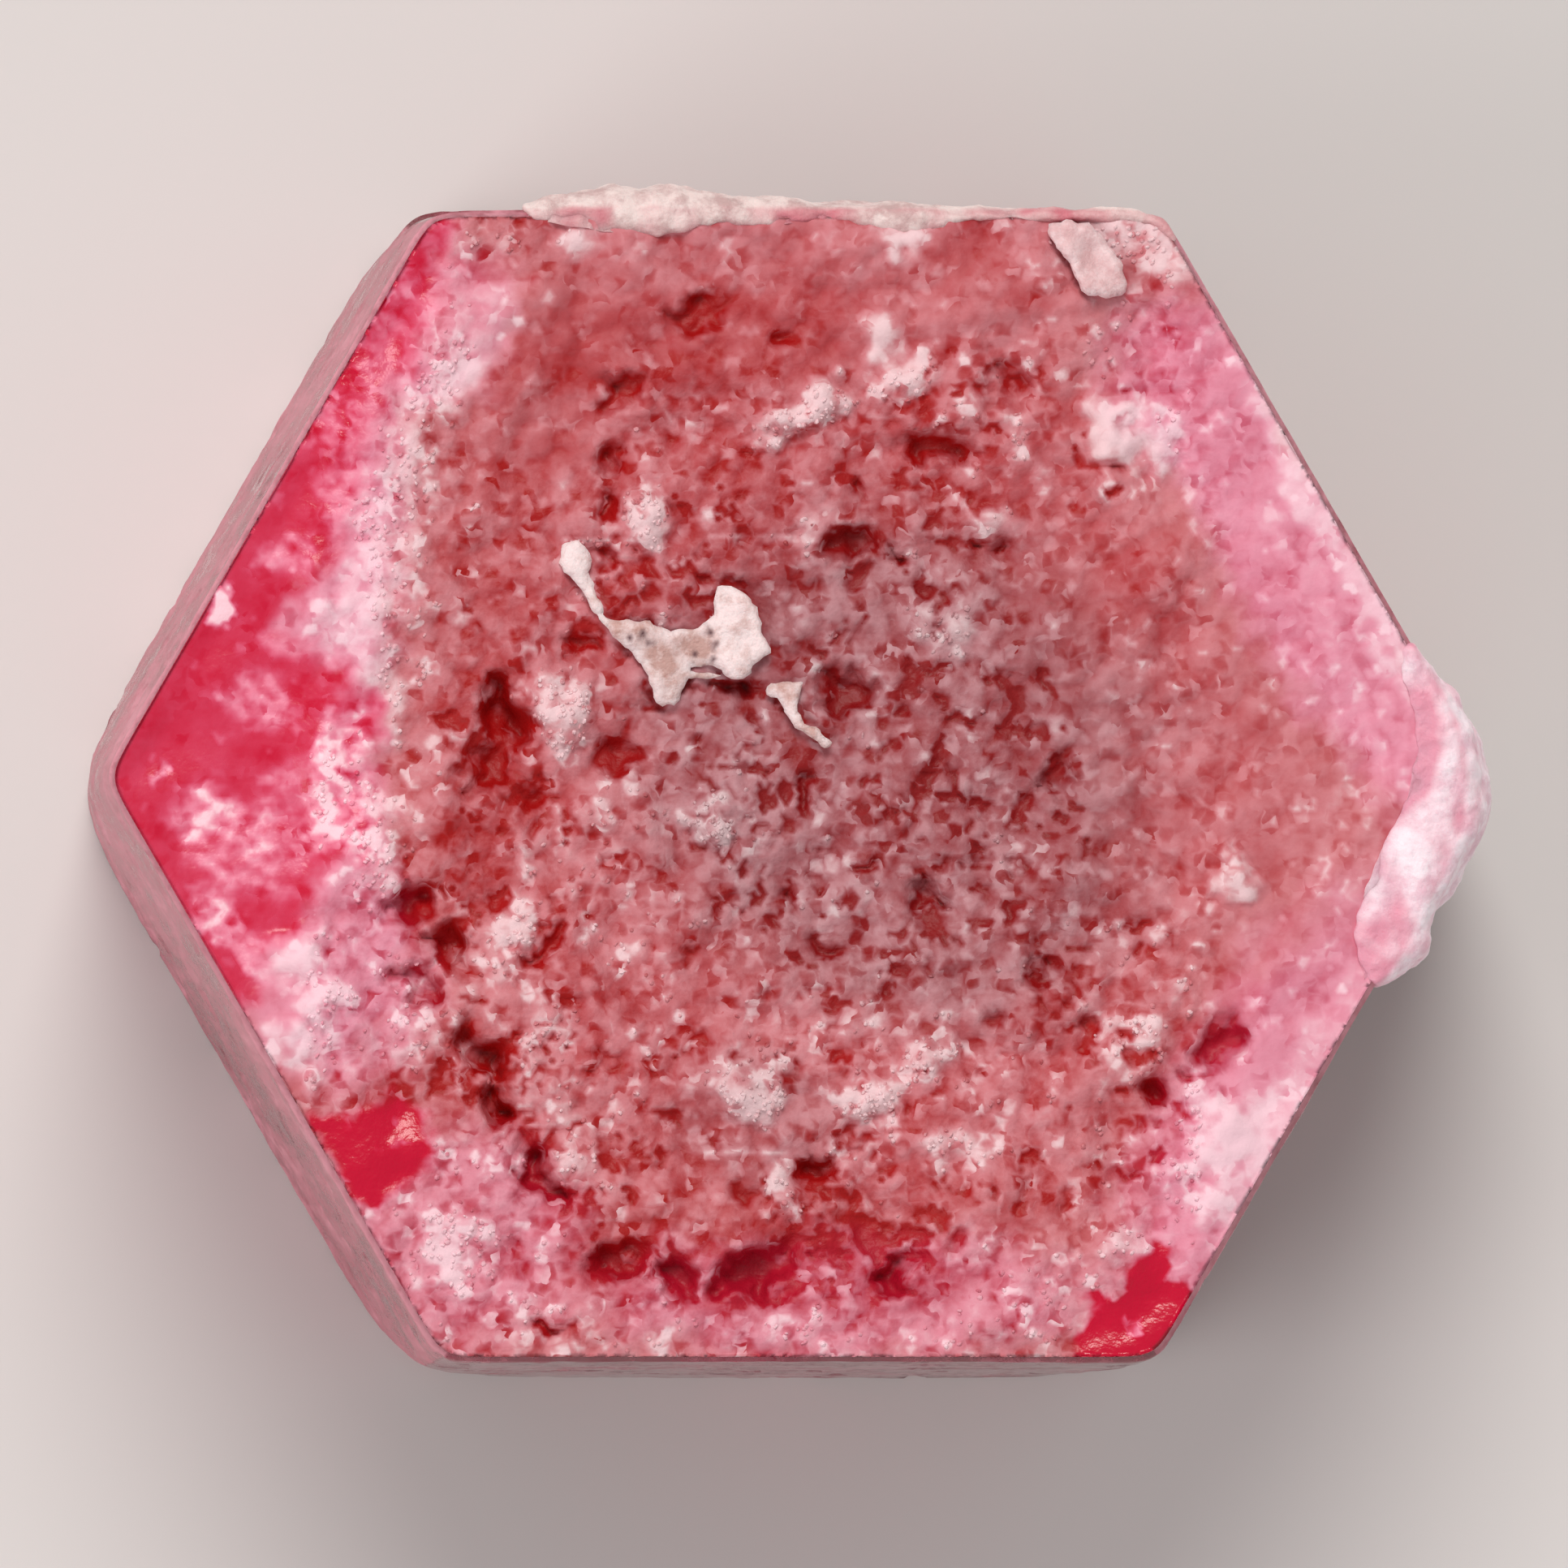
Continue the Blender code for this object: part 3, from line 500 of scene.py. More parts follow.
def mix(low, high, share):
    """Share 0 gives the low value and share 1 the high one."""
    return low + (high - low) * share


def waves(x, y, z, size):
    """Soft noise of a size in millimetres, -1 to 1, at each point. For a flat pattern, z is its seed."""
    x, y, z = np.broadcast_arrays(x, y, z)
    places = zip((x / size).ravel(), (y / size).ravel(), (z / size).ravel())
    return np.array([noise.noise(Vector(place)) for place in places]).reshape(x.shape)


def grains(x, y, z, size):
    """For grains of a size: 1 in each one's middle and 0 at its edge, and a random number for each grain."""
    x, y, z = np.broadcast_arrays(x, y, z)
    domes, numbers = [], []
    for place in zip((x / size).ravel(), (y / size).ravel(), (z / size).ravel()):
        distances, middles = noise.voronoi(Vector(place))
        domes.append(max(1.0 - distances[0] ** 2 / 0.45, 0.0) ** 0.5)
        numbers.append(noise.cell(middles[0] * 7.3) % 1.0)
    return np.array(domes).reshape(x.shape), np.array(numbers).reshape(x.shape)


# --- the outline ---
def corner_after(index):
    """Where face number index meets the next one, x and y."""
    first_turn, first_distance, _ = PRISM_FACES[index % 6]
    next_turn, next_distance, _ = PRISM_FACES[(index + 1) % 6]
    first, following = math.radians(first_turn), math.radians(next_turn)
    cross = math.sin(following - first)
    x = (first_distance * math.sin(following) - next_distance * math.sin(first)) / cross
    y = (next_distance * math.cos(first) - first_distance * math.cos(following)) / cross
    return x, y


def outline_angles(rings):
    """The angle of each column: evenly spaced along each face, with one column on each corner."""
    angles = []
    for face in range(6):
        start, end = corner_after(face - 1), corner_after(face)
        for step in range(rings):
            share = step / rings
            angles.append(math.atan2(mix(start[1], end[1], share), mix(start[0], end[0], share)))
    return np.array(angles)


def step_height(angle):
    """How high the growth step runs round the crystal."""
    return STEP_HEIGHT + STEP_WAVE * np.cos(angle - math.radians(STEP_WAVE_TURN))


def outline_radius(angle, height, below_step=0.0):
    """How far the crystal's side is from the axis, at angles and heights."""
    sharpness = mix(BASE_SHARPNESS, TOP_SHARPNESS, smooth(height / WORN_HEIGHT))
    flare = BASE_FLARE * (1.0 - height / HEIGHT)
    total = 0.0
    for turn, distance, proud in PRISM_FACES:
        facing = np.maximum(np.cos(angle - math.radians(turn)), 1e-3)
        total = total + (facing / (distance + flare + proud * below_step)) ** sharpness
    broken = smooth((height - HEIGHT + BROKEN_CORNER_DEPTH) / BROKEN_CORNER_FADE)
    facing = np.maximum(np.cos(angle - math.radians(BROKEN_CORNER_TURN)), 1e-3)
    total = total + (facing / mix(WHOLE_CORNER_DISTANCE, BROKEN_CORNER_DISTANCE, broken)) ** sharpness
    return total ** (-1.0 / sharpness)


def chipped(angle, height, radius):
    """The radius, pushed in where a chip was knocked out."""
    for x, y, z, chip_radius in CHIPS:
        middle = np.cos(angle) * x + np.sin(angle) * y
        beside_squared = (np.cos(angle) * y - np.sin(angle) * x) ** 2 + (height - z) ** 2
        reach = np.sqrt(np.maximum(chip_radius ** 2 - beside_squared, 0.0))
        inside = (reach > 0.0) & (radius > middle - reach) & (radius < middle + reach)
        radius = np.where(inside, middle - reach, radius)
    return radius


# --- the end face ---
def face_reach(x, y, turn):
    """How far each place lies out in a direction given in degrees."""
    return x * math.cos(math.radians(turn)) + y * math.sin(math.radians(turn))


def edge_margin(x, y):
    """How far inside the nearest prism face each point lies."""
    return np.min([distance - face_reach(x, y, turn) for turn, distance, _ in PRISM_FACES], axis=0)


def basin_reach(x, y):
    """0 in the middle of the basin and 1 on a six-sided line round it, about where the outline is."""
    x, y = x - BASIN_CENTRE[0], y - BASIN_CENTRE[1]
    return np.max([face_reach(x, y, turn) / distance for turn, distance, _ in PRISM_FACES], axis=0)


def oval_dome(x, y, shape):
    """1 in the middle of an oval and 0 outside it."""
    centre_x, centre_y, half_length, half_width, turn, _ = shape
    cosine, sine = math.cos(math.radians(turn)), math.sin(math.radians(turn))
    along = ((x - centre_x) * cosine + (y - centre_y) * sine) / half_length
    across = ((y - centre_y) * cosine - (x - centre_x) * sine) / half_width
    return np.maximum(1.0 - along * along - across * across, 0.0) ** 1.5


def angular_dome(x, y, shape):
    """1 on the floor of a six-sided hollow and 0 outside it, with steep flat walls between."""
    centre_x, centre_y, half_length, half_width, turn, _ = shape
    along = np.abs(face_reach(x - centre_x, y - centre_y, turn)) / (half_length * HOLLOW_REACH)
    across = np.abs(face_reach(x - centre_x, y - centre_y, turn + 90)) / (half_width * HOLLOW_REACH)
    return np.clip((1.0 - np.maximum(along, 0.5 * along + 0.87 * across)) / HOLLOW_WALL, 0.0, 1.0)


def distance_to_line(x, y, line):
    """How far each place is from a line of straight stretches."""
    nearest = np.full(np.shape(x), 1e9)
    for (start_x, start_y), (end_x, end_y) in zip(line, line[1:]):
        run_x, run_y = end_x - start_x, end_y - start_y
        share = ((x - start_x) * run_x + (y - start_y) * run_y) / (run_x ** 2 + run_y ** 2)
        share = np.clip(share, 0.0, 1.0)
        nearest = np.minimum(nearest, np.hypot(x - start_x - run_x * share, y - start_y - run_y * share))
    return nearest


def line_ridge(x, y, line, half_width):
    """1 along a line and 0 from half its width outwards."""
    return np.maximum(1.0 - (distance_to_line(x, y, line) / half_width) ** 2, 0.0)


def clear_corner_share(x):
    """1 in the clear corner on the left, and 0 beyond it."""
    return smooth((CLEAR_CORNER_EDGE - x) / CLEAR_CORNER_FADE)


def calm_share(x):
    """1 where the etching is smooth, in the clear corner and towards the right, and 0 where it is rough."""
    return np.maximum(clear_corner_share(x), SMOOTH_SIDE_CALM * smooth(x - SMOOTH_SIDE_START))


def wandered(x, y):
    """The same places moved a little, so that a hollow's or a patch's outline wanders."""
    return [
        place + sum(reach * waves(x, y, seed + reach, size) for size, reach in WANDERS)
        for place, seed in ((x, 11.0), (y, 31.0))
    ]


def carved(level, x, y, hollows, lumps):
    """The level with hollows sunk into it and lumps raised on it."""
    for hollow in hollows:
        level = level - hollow[-1] * angular_dome(x, y, hollow)
    for lump in lumps:
        level = level + lump[-1] * oval_dome(x, y, lump)
    return level


def relief(x, y):
    """How far the end face stands above or below its own level, but for the frosting."""
    wander = BASIN_WANDER * waves(x * 0.5, y * 0.5, 3.0, 1.0)
    reach = basin_reach(x, y) + wander
    level = 0.0
    for start, rise in BASIN_STEPS:
        level = level - rise * (1.0 - smooth((reach - start) / BASIN_STEP_SPREAD + 0.5))
    for size, height in BUMP_SIZES:
        swells = waves(x / size, y / size, 7.0 * size, 1.0)
        level = level + height * swells * BUMP_STRENGTH * (1.0 - 0.7 * calm_share(x))
    level = level - CLEAR_CORNER_DROP * clear_corner_share(x)
    for line, half_width, height in RIDGES:
        level = level + height * line_ridge(x, y, line, half_width) ** 1.5
    return carved(level, *wandered(x, y), HOLLOWS, LUMPS) * smooth(edge_margin(x, y) / RIM_WIDTH)


def patch_share(x, y, patches):
    """The sum of soft patches, each worth its own amount in its middle."""
    total = np.zeros(np.shape(x))
    for patch in patches:
        total = total + patch[-1] * np.minimum(oval_dome(x, y, patch) * 1.8, 1.0)
    return total


def inside_outline(x, y, outline):
    """True where each place is inside a closed outline."""
    inside = np.zeros(np.shape(x), dtype=bool)
    for (start_x, start_y), (end_x, end_y) in zip(outline, outline[1:] + outline[:1]):
        crosses = (start_y > y) != (end_y > y)
        run = (end_y - start_y) or 1.0
        inside = inside ^ (crosses & (x < start_x + (end_x - start_x) * (y - start_y) / run))
    return inside


def inside_region(x, y, outline, softness):
    """1 inside a closed outline, 0 outside it, with a soft edge."""
    sign = np.where(inside_outline(x, y, outline), 1.0, -1.0)
    return smooth(distance_to_line(x, y, outline + outline[:1]) * sign / softness * 0.5 + 0.5)


def clear_and_veil(x, y):
    """How clear each place is, and the frosting that veils it there."""
    clear, veil = 0.0, 0.0
    for outline, softness, region_veil in CLEAR_REGIONS:
        share = inside_region(x, y, outline, softness)
        clear, veil = clear + share, veil + share * region_veil
    return clear, veil


def uneven_frost(x, y, seed, amounts):
    """An amount of frost, and how much noise over a size takes it up and down."""
    plain, uneven, size = amounts
    return plain + uneven * waves(x, y, seed, size)


def streaked_corner_frost_and_glints(x, y, moved_x, moved_y):
    """The frost on the clear corner, in streaks along the crystal's own directions, with some patches painted
    whiter as highlights where it glints.
    """
    streaks = np.maximum(*(
        waves(face_reach(x, y, turn) / STREAK_WIDTH, face_reach(x, y, turn + 90) / STREAK_LENGTH, 61.0, 1.0)
        for turn in (60, -60)
    ))
    plain, streaked, fine, fine_size = STREAKED_FROST
    strength = plain + streaked * streaks + fine * waves(x, y, 63.0, fine_size)
    return patch_share(moved_x, moved_y, CORNER_FROST_AND_GLINTS) * strength


def hollow_and_lump(x, y):
    """How much of each place is in a hollow, and how much is on a lump."""
    hollow, lump = np.zeros(np.shape(x)), np.zeros(np.shape(x))
    for shapes, full_depth in ((HOLLOWS, FULL_HOLLOW), (SMALL_HOLLOWS, FULL_SMALL_HOLLOW)):
        for shape in shapes:
            hollow = np.maximum(hollow, angular_dome(x, y, shape) * min(shape[-1] / full_depth, 1.2))
    for shape in LUMPS + SMALL_LUMPS:
        lump = np.maximum(lump, oval_dome(x, y, shape) * min(shape[-1] / FULL_LUMP, 1.2))
    return hollow, lump


def dark_pits(x, y, moved_x, moved_y):
    """1 in each small dark pit. They keep to the crystal's own directions, and some places have many."""
    crowding = np.minimum(patch_share(x, y, PITTED_PATCHES), 1.0) * (1.0 + 2.5 * waves(x, y, 41.0, 0.8))
    pits = np.zeros(np.shape(x))
    for turn in PIT_TURNS:
        along, across = face_reach(moved_x, moved_y, turn), face_reach(moved_x, moved_y, turn + 90)
        _, numbers = grains(along / PIT_LENGTH, across / PIT_WIDTH, 3.0 + turn, 1.0)
        pits = np.maximum(pits, smooth((numbers - 1.0 + PIT_SHARE * crowding) / 0.01))
    return pits


def frosting(x, y):
    """The fine etching: its height at each point, and how much each kind of surface shows there."""
    moved_x, moved_y = wandered(x, y)
    calm = calm_share(x)
    clear, veil = clear_and_veil(moved_x, moved_y)
    # Frost on the clear corner, with some patches painted whiter as painted highlights for glints.
    corner_frost_and_glints = streaked_corner_frost_and_glints(x, y, moved_x, moved_y)
    corner_share = smooth(corner_frost_and_glints * 2.0)
    hollow, lump = hollow_and_lump(moved_x, moved_y)

    frost = FROST_LEVEL + patch_share(moved_x, moved_y, FROST_PATCHES)
    frost = frost + PALE_BAND_FROST * smooth(line_ridge(moved_x, moved_y, PALE_BAND, PALE_BAND_WIDTH) * 1.3)
    frost = frost + CURVED_RIDGE_FROST * line_ridge(moved_x, moved_y, CURVED_RIDGE, CURVED_RIDGE_WIDTH)
    frost = frost + uneven_frost(x, y, 71.0, LUMP_FROST) * smooth(lump * 2.0)
    frost = frost * (1.0 - clear) + veil + (corner_frost_and_glints + CLEAR_LUMP_FROST * smooth(lump * 1.3)) * clear

    softened = np.minimum(np.maximum(calm, patch_share(moved_x, moved_y, SOFT_PATCHES)), 1.0)
    contrast = (1.0 - 0.65 * softened) * (1.0 - 0.5 * clear) + 0.45 * clear * corner_share
    roughness = (1.0 - 0.75 * calm) * (1.0 - 0.85 * clear) + 0.4 * corner_share
    level = np.zeros(np.shape(x))
    for size, height, dome_share, grain_share in GRAIN_LAYERS:
        domes, numbers = grains(x, y, 2.0 * size, size)
        level = level + height * roughness * (domes - 0.5 + 0.7 * (numbers - 0.5))
        frost = frost + contrast * (dome_share * (domes - 0.6) + grain_share * (numbers - 0.5))
    # These are the numbers of the finest grains. The few highest get painted highlights: they are painted whiter to
    # stand for glints.
    frost = frost + PAINTED_GLINT_FROST * np.maximum(frost, 0.0) * smooth((numbers - PAINTED_GLINT_START) / 0.02)
    for size, share in CLOUDS:
        frost = frost + share * contrast * waves(x, y, 17.0 + size, size)
    for line in GROWTH_LINES:
        distance = distance_to_line(moved_x, moved_y, line)
        frost = frost + GROWTH_LINE_FROST * smooth(1.4 - distance / GROWTH_LINE_WIDTH)
    for line in SCRATCHES:
        frost = frost + SCRATCH_FROST * smooth(1.5 - distance_to_line(x, y, line) / SCRATCH_WIDTH)

    pits = dark_pits(x, y, moved_x, moved_y) * (1.0 - clear)
    frost = frost - uneven_frost(x, y, 53.0, HOLLOW_FROST) * np.maximum(smooth(hollow * 1.1), 0.9 * pits)
    level = carved(level, moved_x, moved_y, SMALL_HOLLOWS, SMALL_LUMPS) - PIT_DEPTH * pits

    margin = edge_margin(x, y)
    sugar = smooth((frost - SUGAR_START) / 0.5) * (contrast > SUGAR_CONTRAST)
    kinds = {
        "frost": np.clip(frost, -0.3, 1.3),
        "contrast": contrast,
        "clear": clear,
        "brown": np.clip(patch_share(moved_x, moved_y, BROWN_PATCHES), 0.0, 1.0),
        "pink": np.clip(patch_share(moved_x, moved_y, PINK_PATCHES), 0.0, 1.0),
        "sugar": sugar * smooth((margin - SUGAR_MARGIN) / 0.1),
    }
    return level * smooth(margin / 0.10), kinds


# --- building meshes ---
def new_object(name, data):
    """An object in the scene, with its mesh, lamp or camera."""
    made = bpy.data.objects.new(name, data)
    bpy.context.scene.collection.objects.link(made)
    return made


def new_piece(name, points, faces, materials):
    """A mesh object from points in millimetres, at the origin, with its faces pointing out."""
    mesh = bpy.data.meshes.new(name)
    mesh.from_pydata([tuple(point) for point in np.array(points, dtype=float) * MM], [], faces)
    shell = bmesh.new()
    shell.from_mesh(mesh)
    bmesh.ops.recalc_face_normals(shell, faces=shell.faces)
    if shell.calc_volume(signed=True) < 0.0:
        bmesh.ops.reverse_faces(shell, faces=shell.faces)
    shell.to_mesh(mesh)
    shell.free()
    for material in materials:
        mesh.materials.append(material)
    mesh.shade_smooth()
    return new_object(name, mesh)


def finish_modifiers(piece):
    """Turn what the piece's modifiers make into its own plain mesh, and return that."""
    mesh = bpy.data.meshes.new_from_object(piece.evaluated_get(bpy.context.evaluated_depsgraph_get()))
    piece.modifiers.clear()
    piece.data = mesh
    return mesh


def store(piece, name, values):
    """Keep one number for each point of a piece, for its material to read."""
    layer = piece.data.attributes.new(name, "FLOAT", "POINT")
    layer.data.foreach_set("value", np.asarray(values, dtype=np.float32))


def end_face_places(angles):
    """Where the points of the end face lie, x and y: rings from the middle out to just inside the edge."""
    radius = outline_radius(angles, HEIGHT)
    edge_x, edge_y = radius * np.cos(angles), radius * np.sin(angles)
    xs, ys = [np.zeros(1)], [np.zeros(1)]
    for ring in range(1, RINGS + 1):
        column = np.arange(6 * ring) * (RINGS / ring)
        low = column.astype(int)
        share = column - low
        following = (low + 1) % len(angles)
        x = mix(edge_x[low], edge_x[following], share) * ring / RINGS
        y = mix(edge_y[low], edge_y[following], share) * ring / RINGS
        if ring == RINGS:
            inset = 1.0 - EDGE_BEVEL / np.hypot(x, y)
            x, y = x * inset, y * inset
        xs.append(x)
        ys.append(y)
    return np.concatenate(xs), np.concatenate(ys)


def end_face_triangles():
    """The triangles between the rings of the end face, and the number of the first point of the outermost ring."""
    faces = []
    inner_start, inner_count = 0, 1
    for ring in range(1, RINGS + 1):
        outer_start, outer_count = inner_start + inner_count, 6 * ring
        for sector in range(6):
            for step in range(ring):
                this = sector * ring + step
                under = sector * (ring - 1) + step
                near = inner_start + under % inner_count
                after = outer_start + (this + 1) % outer_count
                faces.append((near, outer_start + this, after))
                if step < ring - 1:
                    faces.append((near, after, inner_start + (under + 1) % inner_count))
        inner_start, inner_count = outer_start, outer_count
    return faces, inner_start


def side_heights(angles):
    """The rows down the side: each is a height for every column, and whether it lies below the growth step."""
    ledge = step_height(angles)
    rows = []
    above_count = int((HEIGHT - STEP_HEIGHT) / SIDE_ROW)
    for row in range(above_count + 1):
        rows.append((mix(HEIGHT - EDGE_BEVEL, ledge + STEP_RISE, row / above_count), 0.0))
    below_count = int(STEP_HEIGHT / SIDE_ROW)
    for row in range(below_count + 1):
        rows.append((mix(ledge, 0.0 * ledge, row / below_count), 1.0))
    return rows


def nearest_face(angles):
    """The number of the prism face that each direction meets."""
    return np.argmax([np.cos(angles - math.radians(turn)) / reach for turn, reach, _ in PRISM_FACES], axis=0)


def side_marks(x, y, heights, kind):
    """One kind of mark on the side faces, as listed at the top."""
    size, upright, seed, strength = kind
    return strength * waves(x, y, heights * upright + seed, size)


def side_texture(angles, heights, radius):
    """How far the fine growth marks push the side in or out, and how frosted the side is there."""
    x, y = radius * np.cos(angles), radius * np.sin(angles)
    face = nearest_face(angles)
    stepped = np.array([proud > 0.0 for _, _, proud in PRISM_FACES])[face]
    from_ledge = np.abs(heights - step_height(angles) - 0.5 * STEP_RISE)
    ledge = stepped * smooth(1.3 - from_ledge / LEDGE_REACH)
    striae = sum(side_marks(x, y, heights, kind) for kind in STRIAE)
    low_steps = LOW_STEP_PUSH * smooth(waves(x * 0.2, y * 0.2, heights + 4.0, LOW_STEP_SIZE) * 5.0)
    pits = smooth((waves(x, y, heights * 0.55 + 21.0, SIDE_PIT_SIZE) - 0.40) / 0.12)
    clouds = sum(side_marks(x, y, heights, kind) for kind in SIDE_CLOUDS)
    frosted = np.array(FACE_FROST)[face] + clouds + side_marks(x, y, heights, SIDE_GRAIN)
    frosted = frosted + (LEDGE_FROST + side_marks(x, y, heights, LEDGE_UNEVEN)) * ledge
    frosted = frosted + FOOT_FROST * smooth((FOOT_HEIGHT - heights) / FOOT_HEIGHT)
    frosted = frosted + RIM_SHARE * np.array(RIM_FROST)[face] * smooth((heights - HEIGHT + RIM_REACH) / 0.2)
    return striae + low_steps - SIDE_PIT_DEPTH * pits, np.clip(frosted + SIDE_PIT_FROST * pits, 0.0, 1.0)


def build_crystal(materials):
    """The whole prism in one closed mesh: end face, bevelled edge, side faces with their growth step, cut base."""
    angles = outline_angles(RINGS)
    x, y = end_face_places(angles)
    level, kinds = frosting(x, y)
    points = [np.column_stack((x, y, HEIGHT + relief(x, y) + level))]
    faces, edge_start = end_face_triangles()
    end_faces = len(faces)
    columns = len(angles)
    above = edge_start
    total = len(x)
    side_frost = [np.array(RIM_FROST)[nearest_face(np.arctan2(y, x))]]
    for heights, below_step in side_heights(angles):
        radius = chipped(angles, heights, outline_radius(angles, heights, below_step))
        push, frosted = side_texture(angles, heights, radius)
        radius = radius + push * smooth((HEIGHT - heights) / 0.15)
        points.append(np.column_stack((radius * np.cos(angles), radius * np.sin(angles), heights)))
        side_frost.append(frosted)
        for column in range(columns):
            after = (column + 1) % columns
            faces.append((above + column, total + column, total + after, above + after))
        above = total
        total += columns
    side_faces = len(faces) - end_faces
    faces.append(tuple(range(above, above + columns)))
    crystal = new_piece("etched_beryl_crystal", np.vstack(points), faces, materials)
    slots = np.repeat([0, 1, 2], [end_faces, side_faces, 1])
    crystal.data.polygons.foreach_set("material_index", slots)
    crystal.data.polygons[-1].use_smooth = False
    for name, values in kinds.items():
        store(crystal, name, np.concatenate((values, np.zeros(total - len(values)))))
    store(crystal, "side_frost", np.concatenate(side_frost))
    return crystal


def rounded_outline(outline):
    """The same closed outline with its corners cut, so that it runs smoothly."""
    finer = []
    for (start_x, start_y), (end_x, end_y) in zip(outline, outline[1:] + outline[:1]):
        finer.append((mix(start_x, end_x, 0.25), mix(start_y, end_y, 0.25)))
        finer.append((mix(start_x, end_x, 0.75), mix(start_y, end_y, 0.75)))
    return tuple(finer)


def ragged_outline(outline):
    """The same closed outline in short steps, each moved a little in or out."""
    places = []
    for (start_x, start_y), (end_x, end_y) in zip(outline, outline[1:] + outline[:1]):
        count = max(int(math.hypot(end_x - start_x, end_y - start_y) / RAGGED_STEP), 1)
        places += [(mix(start_x, end_x, step / count), mix(start_y, end_y, step / count)) for step in range(count)]
    x, y = np.array(places).T
    moved_x = x + RAGGED_REACH * waves(x, y, 51.0, RAGGED_SIZE)
    moved_y = y + RAGGED_REACH * waves(x, y, 57.0, RAGGED_SIZE)
    return tuple((float(place_x), float(place_y)) for place_x, place_y in zip(moved_x, moved_y))


def sheet_plan(outline):
    """The flat points and triangles that fill a closed outline."""
    closed = outline + outline[:1]
    count = len(outline)
    xs, ys = [place[0] for place in outline], [place[1] for place in outline]
    inside = []
    for row in range(int((max(ys) - min(ys)) / SHEET_STEP) + 1):
        for column in range(int((max(xs) - min(xs)) / SHEET_STEP) + 1):
            x = min(xs) + (column + 0.5 * (row % 2)) * SHEET_STEP
            y = min(ys) + row * SHEET_STEP
            if inside_outline(x, y, outline) and distance_to_line(x, y, closed) > 0.5 * SHEET_STEP:
                inside.append((x, y))
    flat = [Vector(place) for place in tuple(outline) + tuple(inside)]
    loop = [(index, (index + 1) % count) for index in range(count)]
    flat, _, triangles, _, _, _ = delaunay_2d_cdt(flat, loop, [], 0, 1e-6, True)
    kept = []
    for triangle in triangles:
        middle = sum((flat[index] for index in triangle), Vector((0.0, 0.0))) / 3
        if inside_outline(middle.x, middle.y, outline):
            kept.append(tuple(triangle))
    used = sorted({index for triangle in kept for index in triangle})
    renumber = {index: place for place, index in enumerate(used)}
    places = np.array([tuple(flat[index]) for index in used])
    return places[:, 0], places[:, 1], [tuple(renumber[index] for index in t) for t in kept]


def highest_near(x, y, reach):
    """The highest the end face stands at each point and round about it."""
    highest = relief(x, y)
    for turn in range(0, 360, 45):
        for share in (0.5, 1.0):
            step_x = reach * share * math.cos(math.radians(turn))
            step_y = reach * share * math.sin(math.radians(turn))
            highest = np.maximum(highest, relief(x + step_x, y + step_y))
    return highest


def build_sheet(name, outline, thickness, plate_rise, material):
    """A thin sheet that lies on the end face's high points, with a rounded edge and an uneven upper side."""
    outline = ragged_outline(rounded_outline(outline))
    x, y, triangles = sheet_plan(outline)
    margin = distance_to_line(x, y, outline + outline[:1])
    count = len(x)
    low = HEIGHT + highest_near(x, y, SHEET_REACH) + CONTACT_GAP + plate_rise * plate_lift(x, y)
    plate = np.zeros(count)
    for plate_x, plate_y, half_width, half_height in PLATES:
        reach = np.hypot((x - plate_x) / half_width, (y - plate_y) / half_height)
        plate = np.maximum(plate, smooth(1.6 - 1.3 * reach))
    swell = SHEET_SHARE + SHEET_UNEVEN * waves(x, y, 3.0, SHEET_UNEVEN_SIZE) + PLATE_SHARE * plate
    swell = thickness * swell + SHEET_BUMP * waves(x, y, 8.0, SHEET_BUMP_SIZE)
    rounding = np.clip(margin / SHEET_ROUNDING, 0.0, 1.0)
    high = low + swell * mix(0.3, 1.0, np.sqrt(rounding * (2.0 - rounding)))
    faces = [tuple(reversed(triangle)) for triangle in triangles]
    faces += [tuple(index + count for index in triangle) for triangle in triangles]
    sides = {(a, b) for t in triangles for a, b in ((t[0], t[1]), (t[1], t[2]), (t[2], t[0]))}
    for start, end in sorted(sides):
        if (end, start) not in sides:
            faces.append((start, end, end + count, start + count))
    points = np.vstack((np.column_stack((x, y, low)), np.column_stack((x, y, high))))
    piece = new_piece(name, points, faces, [material])
    # Painted shade: each of the pinholes is a dark spot in the colour, not cut through.
    pinhole_shade_share = np.zeros(count)
    for hole_x, hole_y, half_width in PINHOLES:
        pinhole_shade_share = np.maximum(pinhole_shade_share, smooth(1.4 - np.hypot(x - hole_x, y - hole_y) / half_width * 0.7))
    for attribute, values in (("painted_pinhole_shade", pinhole_shade_share), ("margin", margin), ("plate", plate)):
        store(piece, attribute, np.concatenate((values, values)))
    return piece


def plate_lift(x, y):
    """The film's first plate curls up along its outer edge: 0 lies flat and 1 is the highest."""
    plate_x, plate_y, half_width, half_height = PLATES[0]
    lean = np.clip((x - plate_x + half_width) / (2.0 * half_width), 0.0, 1.0)
    low_side = np.clip((plate_y - y) / half_height, 0.0, 1.0)
    return np.maximum(smooth(lean) * 0.6, smooth(lean * 2.0) * low_side)


